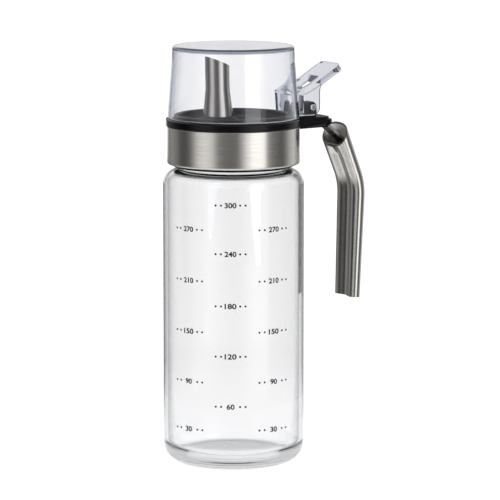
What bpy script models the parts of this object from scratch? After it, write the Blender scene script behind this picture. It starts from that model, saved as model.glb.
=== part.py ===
# Measuring oil bottle: a glass body, a screw cap with a steel pouring spout,
# a clear flip cover with a thumb lever, and a bent steel handle.
# Metres, +Z up. The origin is the centre of the flat base, the handle points
# along +X, and the hinge pin of the cover lies along Y.

import math

import bmesh
import bpy
from mathutils import Matrix, Vector

MM = 0.001

# Facets of turned pieces
ROUND_STEPS = 48
SMALL_STEPS = 24
HOLE_STEPS = 20
ARC_STEPS = 5

# Clearances between pieces
SEAT_GAP = 0.3 * MM
PIN_CLEARANCE = 0.2 * MM
CUT_OVERRUN = 2.0 * MM
WELD_DISTANCE = 0.01 * MM

# Glass body
BODY_RADIUS = 31.2 * MM
BODY_HEIGHT = 131.2 * MM
GLASS_WALL = 1.9 * MM
FLOOR_THICKNESS = 4.5 * MM
BASE_CORNER = 8.0 * MM
SHOULDER_RADIUS = 7.0 * MM
NECK_RADIUS = 22.5 * MM
NECK_LENGTH = 16.3 * MM
NECK_FILLET = 1.5 * MM

# Inner cap: the threaded cup that closes the neck and carries the pouring deck
THREAD_ROOM = 1.4 * MM
INNER_CAP_WALL = 2.5 * MM
SKIRT_ABOVE_SHOULDER = 0.9 * MM
DECK_THICKNESS = 3.0 * MM
RECESS_DEPTH = 2.5 * MM
DECK_RIM_WALL = 2.3 * MM
DECK_RIM_ROUND = 0.6 * MM
GASKET_THICKNESS = 1.5 * MM
GASKET_WIDTH = 2.8 * MM

# Outer ring, steel band and the bracket that carries the hinge and the handle
RING_SKIRT_WALL = 1.9 * MM
RING_LIP = 0.55 * MM
RING_HEIGHT = 3.2 * MM
RING_ROUND = 0.6 * MM
RING_BELOW_RIM = 1.8 * MM
BAND_SHEET = 0.55 * MM
BAND_HEIGHT = 16.7 * MM
BAND_ROLL = 1.3 * MM
BAND_LIP = 0.9 * MM
BRACKET_HALF_WIDTH = 7.5 * MM
BRACKET_BEYOND_PIN = 12.2 * MM
BRACKET_CORNER = 4.0 * MM
BRACKET_DROP = 5.8 * MM
BRACKET_STEP_DROP = 1.2 * MM
BRACKET_TOP_INSET = 0.5 * MM
BRACKET_TOP_SETBACK = 1.5 * MM
BRACKET_CHAMFER = 2.0 * MM
BRACKET_BELOW_RING = 0.9 * MM

# Hinge of the cover
PIN_RADIUS = 1.25 * MM
PIN_SETOUT = 4.3 * MM
PIN_ABOVE_RING = 3.8 * MM
KNUCKLE_RADIUS = 2.5 * MM
KNUCKLE_LENGTH = 5.0 * MM
EAR_RADIUS = 3.6 * MM
EAR_THICKNESS = 1.3 * MM
HINGE_HALF_WIDTH = 9.0 * MM
HINGE_PLATE_SETOUT = 1.85 * MM
HINGE_EDGE_MARGIN = 0.1 * MM

# Clear cover with its thumb lever
COVER_ROOM = 2.8 * MM
COVER_RIM_INSET = 0.85 * MM
COVER_TOP_RADIUS = 26.9 * MM
COVER_WALL = 1.7 * MM
COVER_FILLET = 1.5 * MM
COVER_INNER_FILLET = 0.6 * MM
LEVER_ROOT_ANGLE = math.radians(23.0)
LEVER_TIP_ANGLE = math.radians(32.0)
LEVER_BEND_SETOUT = 0.9 * MM
LEVER_BEND_RISE = 9.0 * MM
LEVER_TIP_LENGTH = 14.0 * MM
LEVER_THICKNESS = 2.8 * MM
LEVER_CORNER = 3.0 * MM
LEVER_ROOT_FILLET = 4.5 * MM
LEVER_BEND_SPAN = 3.5 * MM
WINDOW_HALF_WIDTH = 4.9 * MM
WINDOW_SETOUT = 1.3 * MM
WINDOW_LENGTH = 8.2 * MM
WINDOW_CUT = 2.4 * MM

# Pouring spout, its seal and the vent
SPOUT_OFFSET = 7.6 * MM
SPOUT_RADIUS = 5.36 * MM
SPOUT_FOOT_RADIUS = 6.65 * MM
SPOUT_SHANK_RADIUS = 5.3 * MM
SPOUT_SHEET = 0.6 * MM
SPOUT_FLARE_HEIGHT = 12.1 * MM
SPOUT_HEIGHT = 24.25 * MM
SPOUT_LEAN = math.radians(1.2)
SPOUT_CUT_ANGLE = math.radians(23.0)
SPOUT_COLLAR_WALL = 1.7 * MM
SPOUT_COLLAR_HEIGHT = 1.6 * MM
SEAL_THICKNESS = 1.3 * MM
SEAL_WIDTH = 2.4 * MM
RETAINER_THICKNESS = 1.4 * MM
RETAINER_WIDTH = 2.9 * MM
SHANK_END_MARGIN = 0.5 * MM
VENT_OFFSET = 5.0 * MM
VENT_LENGTH = 6.2 * MM
VENT_WIDTH = 4.0 * MM
VENT_HEIGHT = 1.5 * MM
VENT_HOLE_RADIUS = 1.1 * MM
VALVE_RADIUS = 3.0 * MM
VALVE_THICKNESS = 0.9 * MM
VALVE_STEM_SHARE = 0.55
VALVE_STEM_LENGTH = 3.0 * MM

# Handle: a flattened steel tube with a groove along its inner face
HANDLE_BEYOND_BRACKET = 12.7 * MM
HANDLE_BEND_DROP = 26.2 * MM
HANDLE_UPPER_LENGTH = 23.9 * MM
HANDLE_LOWER_LENGTH = 51.5 * MM
HANDLE_UPPER_TILT = math.radians(21.3)
HANDLE_LOWER_TILT = math.radians(2.1)
HANDLE_BEND_RADIUS = 28.0 * MM
HANDLE_TOP_WIDTH = 20.8 * MM
HANDLE_TOP_DEPTH = 8.0 * MM
HANDLE_END_WIDTH = 17.8 * MM
HANDLE_END_DEPTH = 6.8 * MM
HANDLE_SHEET = 0.6 * MM
HANDLE_GROOVE_DEPTH = 2.4 * MM
HANDLE_GROOVE_WIDTH = 2.0 * MM
HANDLE_GROOVE_RUN = 5.0 * MM
HANDLE_GROOVE_MOUTH_SHARES = (0.2, 0.45)
HANDLE_CUT_ANGLE = math.radians(47.0)
HANDLE_OVAL_POWER = 2.35
HANDLE_SECTION_POINTS = 36
HANDLE_BEND_STATIONS = 7
HANDLE_STRAIGHT_STATIONS = 4

# Steel tongue that joins the handle to the bracket, and its screw
TONGUE_HALF_WIDTH = 4.0 * MM
TONGUE_THICKNESS = 1.3 * MM
TONGUE_ROOT_INSET = 10.4 * MM
TONGUE_RECESS = 0.1 * MM
TONGUE_BEND_INSET = 1.6 * MM
TONGUE_CLEARANCE = 0.5 * MM
TONGUE_ENTRY = 4.5 * MM
TONGUE_IN_HANDLE = 13.0 * MM
SCREW_RADIUS = 1.5 * MM
SCREW_HEAD_RADIUS = 2.6 * MM
SCREW_HEAD_HEIGHT = 1.1 * MM
SCREW_TOP_COVER = 1.0 * MM

# Sizes that follow from the ones above
NECK_TOP = BODY_HEIGHT + NECK_LENGTH
GASKET_BOTTOM = NECK_TOP + SEAT_GAP
GASKET_TOP = GASKET_BOTTOM + GASKET_THICKNESS
DECK_BOTTOM = GASKET_TOP + SEAT_GAP
DECK_TOP = DECK_BOTTOM + DECK_THICKNESS
DECK_RIM_TOP = DECK_TOP + RECESS_DEPTH
INNER_CAP_BORE = NECK_RADIUS + THREAD_ROOM
INNER_CAP_RADIUS = INNER_CAP_BORE + INNER_CAP_WALL
INNER_CAP_BOTTOM = BODY_HEIGHT + SKIRT_ABOVE_SHOULDER
RING_BORE = INNER_CAP_RADIUS + SEAT_GAP
RING_SKIRT_RADIUS = RING_BORE + RING_SKIRT_WALL
BAND_BORE = RING_SKIRT_RADIUS + SEAT_GAP
BAND_RADIUS = BAND_BORE + BAND_SHEET
RING_RADIUS = BAND_RADIUS + RING_LIP
RING_TOP = DECK_RIM_TOP - RING_BELOW_RIM
RING_BOTTOM = RING_TOP - RING_HEIGHT
BAND_TOP = RING_BOTTOM - SEAT_GAP
BAND_BOTTOM = BAND_TOP - BAND_HEIGHT
RING_SKIRT_BOTTOM = BAND_BOTTOM + BAND_SHEET + SEAT_GAP
BRACKET_TOP = RING_TOP - BRACKET_BELOW_RING
BRACKET_BOTTOM = RING_TOP - BRACKET_DROP
BRACKET_STEP = BRACKET_TOP - BRACKET_STEP_DROP
BAND_ROOM_TOP = BAND_TOP + SEAT_GAP
PIN_HEIGHT = RING_TOP + PIN_ABOVE_RING
COVER_BOTTOM = RING_TOP + SEAT_GAP
COVER_RIM_RADIUS = RING_RADIUS - COVER_RIM_INSET
HINGE_PLATE_REACH = COVER_RIM_RADIUS + HINGE_PLATE_SETOUT
KNUCKLE_BASE_BACK = HINGE_PLATE_REACH + SEAT_GAP
PIN_REACH = HINGE_PLATE_REACH + PIN_SETOUT
LEVER_BEND_REACH = PIN_REACH + LEVER_BEND_SETOUT
LEVER_TIP_REACH = LEVER_BEND_REACH + LEVER_TIP_LENGTH
WINDOW_START = HINGE_PLATE_REACH + WINDOW_SETOUT
WINDOW_END = WINDOW_START + WINDOW_LENGTH
BRACKET_REACH = PIN_REACH + BRACKET_BEYOND_PIN
HANDLE_BEND_REACH = BRACKET_REACH + HANDLE_BEYOND_BRACKET
HANDLE_BEND_HEIGHT = BRACKET_BOTTOM - HANDLE_BEND_DROP
KNUCKLE_OUTER_FACE = HINGE_HALF_WIDTH - EAR_THICKNESS - SEAT_GAP
SPOUT_COLLAR_TOP = DECK_TOP + SPOUT_COLLAR_HEIGHT
SPOUT_FOOT = SPOUT_COLLAR_TOP + SEAT_GAP
SPOUT_LIP_TOP = SPOUT_FOOT + SPOUT_HEIGHT + SPOUT_RADIUS * math.tan(SPOUT_CUT_ANGLE)
COVER_TOP = SPOUT_LIP_TOP + COVER_ROOM + COVER_WALL
SPOUT_HOLE_RADIUS = SPOUT_SHANK_RADIUS + SEAT_GAP
SEAL_TOP = DECK_BOTTOM - SEAT_GAP
SEAL_BOTTOM = SEAL_TOP - SEAL_THICKNESS
RETAINER_TOP = SEAL_BOTTOM - SEAT_GAP
RETAINER_BOTTOM = RETAINER_TOP - RETAINER_THICKNESS
SHANK_BOTTOM = RETAINER_BOTTOM - SHANK_END_MARGIN
TONGUE_HEIGHT = BRACKET_BOTTOM + TONGUE_RECESS + TONGUE_THICKNESS / 2
TONGUE_ROOT = BRACKET_REACH - TONGUE_ROOT_INSET
SCREW_REACH = BRACKET_REACH - BRACKET_HALF_WIDTH
SCREW_BOTTOM = BRACKET_BOTTOM + TONGUE_RECESS
SCREW_TOP = BRACKET_TOP - SCREW_TOP_COVER


def clear_scene():
    for old in list(bpy.data.objects):
        bpy.data.objects.remove(old, do_unlink=True)


def make_collection(name):
    collection = bpy.data.collections.new(name)
    bpy.context.scene.collection.children.link(collection)
    return collection


def make_material(name, colour, roughness, metallic=0.0, clear=0.0):
    material = bpy.data.materials.new(name)
    material.use_nodes = True
    shader = material.node_tree.nodes["Principled BSDF"]
    shader.inputs["Base Color"].default_value = (*colour, 1.0)
    shader.inputs["Roughness"].default_value = roughness
    shader.inputs["Metallic"].default_value = metallic
    shader.inputs["Transmission Weight"].default_value = clear
    material.diffuse_color = (*colour, 1.0)
    return material


clear_scene()
PARTS = make_collection("measuring_oil_bottle")
CUTTERS = make_collection("cutters")

GLASS = make_material("clear_glass", (0.93, 0.96, 0.96), 0.03, clear=1.0)
CLEAR_PLASTIC = make_material("clear_plastic", (0.88, 0.90, 0.96), 0.05, clear=1.0)
STEEL = make_material("brushed_steel", (0.62, 0.60, 0.57), 0.30, metallic=1.0)
BLACK = make_material("black_plastic", (0.020, 0.020, 0.022), 0.38)
SILICONE = make_material("grey_silicone", (0.42, 0.43, 0.44), 0.60)


def arc(centre, radius, start, end, steps=ARC_STEPS):
    # points of an arc from one angle to another, in degrees, ends included
    points = []
    for index in range(steps + 1):
        angle = math.radians(start + (end - start) * index / steps)
        points.append((centre[0] + radius * math.cos(angle), centre[1] + radius * math.sin(angle)))
    return points


def finish(piece, material, angle=35.0):
    mesh = piece.data
    mesh.materials.clear()
    mesh.materials.append(material)
    mesh.shade_smooth()
    mesh.set_sharp_from_angle(angle=math.radians(angle))
    return piece


def hide_helper(piece):
    piece.hide_render = True
    piece.display_type = "WIRE"


def add_object(name, mesh, collection):
    piece = bpy.data.objects.new(name, mesh)
    collection.objects.link(piece)
    if collection is CUTTERS:
        hide_helper(piece)
    return piece


def turned(name, profile, collection, closed=False, steps=ROUND_STEPS):
    # a profile in the XZ plane, run down its outer side, turned about the Z axis
    mesh = bpy.data.meshes.new(name)
    count = len(profile)
    edges = [(index, index + 1) for index in range(count - 1)]
    if closed:
        edges.append((count - 1, 0))
    mesh.from_pydata([(radius, 0.0, height) for radius, height in profile], edges, [])
    piece = add_object(name, mesh, collection)
    screw = piece.modifiers.new("turn", "SCREW")
    screw.axis = "Z"
    screw.steps = steps
    screw.render_steps = steps
    screw.use_merge_vertices = True
    screw.merge_threshold = WELD_DISTANCE
    screw.use_smooth_shade = True
    return piece


def plain_mesh(piece):
    # the evaluated shape as a plain mesh object under the same name, doubles welded
    bpy.context.view_layer.update()
    evaluated = piece.evaluated_get(bpy.context.evaluated_depsgraph_get())
    mesh = bpy.data.meshes.new_from_object(evaluated)
    shape = bmesh.new()
    shape.from_mesh(mesh)
    bmesh.ops.remove_doubles(shape, verts=shape.verts, dist=WELD_DISTANCE)
    bmesh.ops.recalc_face_normals(shape, faces=shape.faces)
    shape.to_mesh(mesh)
    shape.free()
    name = piece.name
    collection = piece.users_collection[0]
    place = piece.matrix_world.copy()
    bpy.data.objects.remove(piece, do_unlink=True)
    made = add_object(name, mesh, collection)
    made.matrix_world = place
    return made


def flat_piece(name, outline, thickness, place, collection):
    # a closed outline in a plane, filled and given its thickness, centred on that plane
    curve = bpy.data.curves.new(name, "CURVE")
    curve.dimensions = "2D"
    curve.fill_mode = "BOTH"
    curve.extrude = thickness / 2
    spline = curve.splines.new("POLY")
    spline.points.add(len(outline) - 1)
    for point, (along, across) in zip(spline.points, outline):
        point.co = (along, across, 0.0, 1.0)
    spline.use_cyclic_u = True
    piece = bpy.data.objects.new(name, curve)
    collection.objects.link(piece)
    piece.matrix_world = place
    return plain_mesh(piece)


def side_place(centre_y=0.0):
    # puts an outline drawn as (x, z) into the XZ plane at a given Y
    return Matrix.Translation((0.0, centre_y, 0.0)) @ Matrix.Rotation(math.radians(90.0), 4, "X")


def plan_place(height):
    return Matrix.Translation((0.0, 0.0, height))


def cylinder(name, radius, length, centre, axis, collection, steps=HOLE_STEPS, end_radius=None):
    shape = bmesh.new()
    bmesh.ops.create_cone(
        shape,
        cap_ends=True,
        segments=steps,
        radius1=radius,
        radius2=radius if end_radius is None else end_radius,
        depth=length,
    )
    mesh = bpy.data.meshes.new(name)
    shape.to_mesh(mesh)
    shape.free()
    piece = add_object(name, mesh, collection)
    turn = Vector((0.0, 0.0, 1.0)).rotation_difference(Vector(axis)).to_matrix().to_4x4()
    piece.matrix_world = Matrix.Translation(centre) @ turn
    return piece


def box(name, low, high, collection):
    shape = bmesh.new()
    bmesh.ops.create_cube(shape, size=1.0)
    size = Vector(high) - Vector(low)
    bmesh.ops.scale(shape, vec=size, verts=shape.verts)
    bmesh.ops.translate(shape, vec=(Vector(high) + Vector(low)) / 2, verts=shape.verts)
    mesh = bpy.data.meshes.new(name)
    shape.to_mesh(mesh)
    shape.free()
    return add_object(name, mesh, collection)


def combine(piece, tool, operation):
    boolean = piece.modifiers.new(tool.name, "BOOLEAN")
    boolean.object = tool
    boolean.operation = operation
    boolean.solver = "EXACT"


def glass_bottle():
    floor = FLOOR_THICKNESS
    inner_corner = BASE_CORNER - GLASS_WALL
    corner_centre = BODY_RADIUS - BASE_CORNER
    shoulder = (BODY_RADIUS - SHOULDER_RADIUS, BODY_HEIGHT - SHOULDER_RADIUS)
    inner_shoulder = SHOULDER_RADIUS - GLASS_WALL
    neck_bend = (NECK_RADIUS + NECK_FILLET, BODY_HEIGHT + NECK_FILLET)
    inner_bend = NECK_FILLET + GLASS_WALL
    lip = GLASS_WALL / 2
    profile = [(0.0, floor)]
    profile += arc((corner_centre, floor + inner_corner), inner_corner, -90.0, 0.0, 4)
    profile += arc(shoulder, inner_shoulder, 0.0, 90.0, 3)
    profile += arc(neck_bend, inner_bend, 270.0, 180.0, 3)
    profile += arc((NECK_RADIUS - lip, NECK_TOP - lip), lip, 180.0, 0.0, 4)
    profile += arc(neck_bend, NECK_FILLET, 180.0, 270.0, 2)
    profile += arc(shoulder, SHOULDER_RADIUS, 90.0, 0.0)
    profile += arc((corner_centre, BASE_CORNER), BASE_CORNER, 0.0, -90.0)
    profile += [(0.0, 0.0)]
    return finish(plain_mesh(turned("glass_bottle", profile, PARTS)), GLASS)


def inner_cap():
    rim_inner = INNER_CAP_RADIUS - DECK_RIM_WALL
    rim_centre = DECK_RIM_TOP - DECK_RIM_ROUND
    profile = [(0.0, DECK_TOP), (rim_inner, DECK_TOP)]
    profile += arc((rim_inner + DECK_RIM_ROUND, rim_centre), DECK_RIM_ROUND, 180.0, 90.0, 3)
    profile += arc((INNER_CAP_RADIUS - DECK_RIM_ROUND, rim_centre), DECK_RIM_ROUND, 90.0, 0.0, 3)
    profile += [
        (INNER_CAP_RADIUS, INNER_CAP_BOTTOM),
        (INNER_CAP_BORE, INNER_CAP_BOTTOM),
        (INNER_CAP_BORE, DECK_BOTTOM),
        (0.0, DECK_BOTTOM),
    ]
    cap = plain_mesh(turned("inner_cap", profile, PARTS))
    spout_axis = -SPOUT_OFFSET
    collar_radius = SPOUT_HOLE_RADIUS + SPOUT_COLLAR_WALL
    collar_low = (DECK_TOP + DECK_BOTTOM) / 2
    collar = cylinder(
        "spout_collar",
        collar_radius,
        SPOUT_COLLAR_TOP - collar_low,
        (spout_axis, 0.0, (SPOUT_COLLAR_TOP + collar_low) / 2),
        (0.0, 0.0, 1.0),
        CUTTERS,
        SMALL_STEPS,
    )
    vent_round = VENT_WIDTH / 2
    vent_straight = VENT_LENGTH / 2 - vent_round
    vent_outline = arc((VENT_OFFSET, vent_straight), vent_round, 0.0, 180.0)
    vent_outline += arc((VENT_OFFSET, -vent_straight), vent_round, 180.0, 360.0)
    vent_top = DECK_TOP + VENT_HEIGHT
    boss = flat_piece(
        "vent_boss",
        vent_outline,
        vent_top - collar_low,
        plan_place((vent_top + collar_low) / 2),
        CUTTERS,
    )
    spout_hole = cylinder(
        "spout_hole",
        SPOUT_HOLE_RADIUS,
        SPOUT_COLLAR_TOP - DECK_BOTTOM + CUT_OVERRUN,
        (spout_axis, 0.0, (SPOUT_COLLAR_TOP + DECK_BOTTOM) / 2),
        (0.0, 0.0, 1.0),
        CUTTERS,
        SMALL_STEPS,
    )
    vent_hole = cylinder(
        "vent_hole",
        VENT_HOLE_RADIUS,
        vent_top - DECK_BOTTOM + CUT_OVERRUN,
        (VENT_OFFSET, 0.0, (vent_top + DECK_BOTTOM) / 2),
        (0.0, 0.0, 1.0),
        CUTTERS,
    )
    combine(cap, collar, "UNION")
    combine(cap, boss, "UNION")
    combine(cap, spout_hole, "DIFFERENCE")
    combine(cap, vent_hole, "DIFFERENCE")
    return finish(cap, BLACK)


def mouth_gasket():
    outer = INNER_CAP_BORE - SEAT_GAP
    inner = outer - GASKET_WIDTH
    profile = [(inner, GASKET_TOP), (outer, GASKET_TOP), (outer, GASKET_BOTTOM), (inner, GASKET_BOTTOM)]
    return finish(plain_mesh(turned("mouth_gasket", profile, PARTS, closed=True)), SILICONE)


def collar_band():
    inner_roll = BAND_ROLL - BAND_SHEET
    roll_centre = (BAND_RADIUS - BAND_ROLL, BAND_BOTTOM + BAND_ROLL)
    lip_edge = roll_centre[0] - BAND_LIP
    profile = [(BAND_RADIUS, BAND_TOP)]
    profile += arc(roll_centre, BAND_ROLL, 0.0, -90.0, 4)
    profile += [(lip_edge, BAND_BOTTOM), (lip_edge, BAND_BOTTOM + BAND_SHEET)]
    profile += arc(roll_centre, inner_roll, -90.0, 0.0, 2)
    profile += [(BAND_BORE, BAND_TOP)]
    return finish(plain_mesh(turned("collar_band", profile, PARTS, closed=True)), STEEL)


def bracket_outline(half_width, reach, root, corner):
    # plan of the bracket arm: straight sides and a blunt end with rounded corners
    outline = [(root, -half_width)]
    outline += arc((reach - corner, corner - half_width), corner, -90.0, 0.0)
    outline += arc((reach - corner, half_width - corner), corner, 0.0, 90.0)
    outline += [(root, half_width)]
    return outline


def bracket_arm(root):
    arm = flat_piece(
        "bracket_arm",
        bracket_outline(BRACKET_HALF_WIDTH, BRACKET_REACH, root, BRACKET_CORNER),
        BRACKET_STEP - BRACKET_BOTTOM,
        plan_place((BRACKET_STEP + BRACKET_BOTTOM) / 2),
        CUTTERS,
    )
    shape = bmesh.new()
    shape.from_mesh(arm.data)
    lowest = min(vert.co.z for vert in shape.verts)
    bend_start = BRACKET_REACH - BRACKET_CORNER - WELD_DISTANCE
    edges = []
    for edge in shape.edges:
        flat = all(vert.co.z < lowest + WELD_DISTANCE for vert in edge.verts)
        at_end = all(vert.co.x > bend_start for vert in edge.verts)
        if flat and at_end and len(edge.link_faces) == 2 and edge.calc_face_angle() > 1.0:
            edges.append(edge)
    bmesh.ops.bevel(shape, geom=edges, offset=BRACKET_CHAMFER, segments=1, affect="EDGES")
    shape.to_mesh(arm.data)
    shape.free()
    return arm


def cap_ring():
    lower_round = RING_ROUND / 2
    profile = [(RING_BORE, RING_TOP)]
    profile += arc((RING_RADIUS - RING_ROUND, RING_TOP - RING_ROUND), RING_ROUND, 90.0, 0.0, 3)
    profile += arc((RING_RADIUS - lower_round, RING_BOTTOM + lower_round), lower_round, 0.0, -90.0, 2)
    profile += [
        (RING_SKIRT_RADIUS, RING_BOTTOM),
        (RING_SKIRT_RADIUS, RING_SKIRT_BOTTOM),
        (RING_BORE, RING_SKIRT_BOTTOM),
    ]
    ring = plain_mesh(turned("cap_ring", profile, PARTS, closed=True))
    root = (RING_BORE + RING_RADIUS) / 2
    lower = bracket_arm(root)
    upper = flat_piece(
        "bracket_top",
        bracket_outline(
            BRACKET_HALF_WIDTH - BRACKET_TOP_INSET,
            BRACKET_REACH - BRACKET_TOP_SETBACK,
            root + BRACKET_TOP_INSET,
            BRACKET_CORNER - BRACKET_TOP_INSET,
        ),
        BRACKET_TOP - BRACKET_STEP + SEAT_GAP,
        plan_place((BRACKET_TOP + BRACKET_STEP - SEAT_GAP) / 2),
        CUTTERS,
    )
    band_room = cylinder(
        "band_room",
        BAND_RADIUS + SEAT_GAP,
        BAND_ROOM_TOP - BAND_BOTTOM,
        (0.0, 0.0, (BAND_ROOM_TOP + BAND_BOTTOM) / 2),
        (0.0, 0.0, 1.0),
        CUTTERS,
        ROUND_STEPS,
    )
    combine(lower, band_room, "DIFFERENCE")
    combine(ring, plain_mesh(lower), "UNION")
    combine(ring, upper, "UNION")
    for side in (-1, 1):
        face = KNUCKLE_OUTER_FACE
        centre_y = side * (face - KNUCKLE_LENGTH / 2)
        outline = [(PIN_REACH + KNUCKLE_RADIUS, BRACKET_STEP)]
        outline += arc((PIN_REACH, PIN_HEIGHT), KNUCKLE_RADIUS, 0.0, 165.0, 10)
        outline += [(KNUCKLE_BASE_BACK, BRACKET_STEP)]
        name = "knuckle_near" if side < 0 else "knuckle_far"
        knuckle = flat_piece(name, outline, KNUCKLE_LENGTH, side_place(centre_y), CUTTERS)
        combine(ring, knuckle, "UNION")
    pin_hole = cylinder(
        "pin_hole",
        PIN_RADIUS + PIN_CLEARANCE,
        2 * (HINGE_HALF_WIDTH + CUT_OVERRUN),
        (PIN_REACH, 0.0, PIN_HEIGHT),
        (0.0, 1.0, 0.0),
        CUTTERS,
    )
    recess_half = TONGUE_HALF_WIDTH + SEAT_GAP
    tongue_recess = box(
        "tongue_recess",
        (TONGUE_ROOT - SEAT_GAP, -recess_half, BRACKET_BOTTOM - CUT_OVERRUN),
        (BRACKET_REACH + CUT_OVERRUN, recess_half, TONGUE_HEIGHT + TONGUE_THICKNESS / 2 + SEAT_GAP),
        CUTTERS,
    )
    hole_top = SCREW_TOP + SEAT_GAP
    screw_hole = cylinder(
        "screw_hole",
        SCREW_RADIUS + SEAT_GAP,
        hole_top - BRACKET_BOTTOM,
        (SCREW_REACH, 0.0, (hole_top + BRACKET_BOTTOM) / 2),
        (0.0, 0.0, 1.0),
        CUTTERS,
    )
    for cutter in (pin_hole, tongue_recess, screw_hole):
        combine(ring, cutter, "DIFFERENCE")
    return finish(ring, BLACK)


def spout_tube():
    # turned tube with its flared foot, leaned towards the pouring side and cut at a slant
    sheet = SPOUT_SHEET
    flare_top = SPOUT_FOOT + SPOUT_FLARE_HEIGHT
    top = SPOUT_FOOT + SPOUT_HEIGHT + SPOUT_RADIUS
    profile = [
        (SPOUT_RADIUS, top),
        (SPOUT_RADIUS, flare_top),
        (SPOUT_FOOT_RADIUS, SPOUT_FOOT),
        (SPOUT_SHANK_RADIUS, SPOUT_FOOT),
        (SPOUT_SHANK_RADIUS, SHANK_BOTTOM),
        (SPOUT_SHANK_RADIUS - sheet, SHANK_BOTTOM),
        (SPOUT_SHANK_RADIUS - sheet, SPOUT_FOOT + sheet),
        (SPOUT_FOOT_RADIUS - sheet, SPOUT_FOOT + sheet),
        (SPOUT_RADIUS - sheet, flare_top),
        (SPOUT_RADIUS - sheet, top),
    ]
    tube = plain_mesh(turned("spout_tube", profile, PARTS, closed=True, steps=SMALL_STEPS))
    lean = math.tan(SPOUT_LEAN)
    for vert in tube.data.vertices:
        rise = max(0.0, vert.co.z - SPOUT_FOOT)
        vert.co.x -= SPOUT_OFFSET + rise * lean
    knife = box(
        "spout_knife",
        (-SPOUT_HEIGHT, -SPOUT_HEIGHT, 0.0),
        (SPOUT_HEIGHT, SPOUT_HEIGHT, SPOUT_HEIGHT),
        CUTTERS,
    )
    cut_point = Vector((-SPOUT_OFFSET - SPOUT_HEIGHT * lean, 0.0, SPOUT_FOOT + SPOUT_HEIGHT))
    knife.matrix_world = Matrix.Translation(cut_point) @ Matrix.Rotation(SPOUT_CUT_ANGLE, 4, "Y")
    combine(tube, knife, "DIFFERENCE")
    return finish(tube, STEEL)


def spout_ring(name, width, low, high, material):
    inner = SPOUT_SHANK_RADIUS + SEAT_GAP
    outer = inner + width
    profile = [(inner, high), (outer, high), (outer, low), (inner, low)]
    ring = plain_mesh(turned(name, profile, PARTS, closed=True, steps=SMALL_STEPS))
    ring.data.transform(Matrix.Translation((-SPOUT_OFFSET, 0.0, 0.0)))
    return finish(ring, material)


def vent_valve():
    # umbrella disc under the deck with a stem that holds it in the vent
    stem = VENT_HOLE_RADIUS * VALVE_STEM_SHARE
    disc_top = DECK_BOTTOM - SEAT_GAP
    disc_bottom = disc_top - VALVE_THICKNESS
    stem_top = DECK_BOTTOM + VALVE_STEM_LENGTH
    profile = [
        (0.0, stem_top),
        (stem, stem_top),
        (stem, disc_top),
        (VALVE_RADIUS, disc_top),
        (VALVE_RADIUS, (disc_top + disc_bottom) / 2),
        (VALVE_RADIUS / 2, disc_bottom),
        (0.0, disc_bottom),
    ]
    valve = plain_mesh(turned("vent_valve", profile, PARTS, steps=HOLE_STEPS))
    valve.data.transform(Matrix.Translation((VENT_OFFSET, 0.0, 0.0)))
    return finish(valve, SILICONE)


def lever_mid(reach):
    # height of the lever's middle surface at a distance from the bottle's axis
    beyond = reach - LEVER_BEND_REACH
    angle = LEVER_TIP_ANGLE if beyond > 0 else LEVER_ROOT_ANGLE
    return PIN_HEIGHT + LEVER_BEND_RISE + beyond * math.tan(angle)


def thumb_lever(back):
    # strip with a soft bend, its two outer corners rounded
    half = LEVER_THICKNESS / 2
    root_way = Vector((math.cos(LEVER_ROOT_ANGLE), math.sin(LEVER_ROOT_ANGLE)))
    tip_way = Vector((math.cos(LEVER_TIP_ANGLE), math.sin(LEVER_TIP_ANGLE)))
    bend = Vector((LEVER_BEND_REACH, lever_mid(LEVER_BEND_REACH)))
    middle = [(Vector((back, lever_mid(back))), root_way)]
    for index in range(ARC_STEPS):
        share = index / (ARC_STEPS - 1)
        low = (bend - root_way * LEVER_BEND_SPAN).lerp(bend, share)
        high = bend.lerp(bend + tip_way * LEVER_BEND_SPAN, share)
        middle.append((low.lerp(high, share), root_way.lerp(tip_way, share).normalized()))
    middle.append((Vector((LEVER_TIP_REACH, lever_mid(LEVER_TIP_REACH))), tip_way))
    upper = [(point.x - way.y * half, point.y + way.x * half) for point, way in middle]
    lower = [(point.x + way.y * half, point.y - way.x * half) for point, way in middle]
    strip = flat_piece(
        "lever", lower + upper[::-1], 2 * HINGE_HALF_WIDTH, side_place(), CUTTERS
    )
    ends = [Vector((point[0], point[1])) for point in (upper[-1], lower[-1])]
    shape = bmesh.new()
    shape.from_mesh(strip.data)
    edges = []
    for edge in shape.edges:
        flats = [Vector((vert.co.x, vert.co.y)) for vert in edge.verts]
        if all(min((flat - end).length for end in ends) < WELD_DISTANCE for flat in flats):
            if abs(edge.verts[0].co.z - edge.verts[1].co.z) < WELD_DISTANCE:
                edges.append(edge)
    bmesh.ops.bevel(
        shape, geom=edges, offset=LEVER_CORNER, segments=ARC_STEPS, profile=0.5, affect="EDGES"
    )
    shape.to_mesh(strip.data)
    shape.free()
    return strip


def ear_outline(back):
    # side view of one hinge ear, from the cover's wall round the pin and up to the lever
    front = PIN_REACH + EAR_RADIUS
    fillet_end = front + LEVER_ROOT_FILLET * math.cos(LEVER_TIP_ANGLE)
    fillet_start_height = lever_mid(front) - LEVER_ROOT_FILLET
    outline = [(back, PIN_HEIGHT - EAR_RADIUS)]
    outline += arc((PIN_REACH, PIN_HEIGHT), EAR_RADIUS, -90.0, 0.0, 6)
    outline += [(front, fillet_start_height)]
    corner = Vector((front, lever_mid(front)))
    start = Vector((front, fillet_start_height))
    end = Vector((fillet_end, lever_mid(fillet_end)))
    for index in range(1, ARC_STEPS + 1):
        share = index / ARC_STEPS
        low = start.lerp(corner, share)
        high = corner.lerp(end, share)
        point = low.lerp(high, share)
        outline.append((point.x, point.y))
    outline += [(LEVER_BEND_REACH, lever_mid(LEVER_BEND_REACH)), (back, lever_mid(back))]
    return outline


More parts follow.
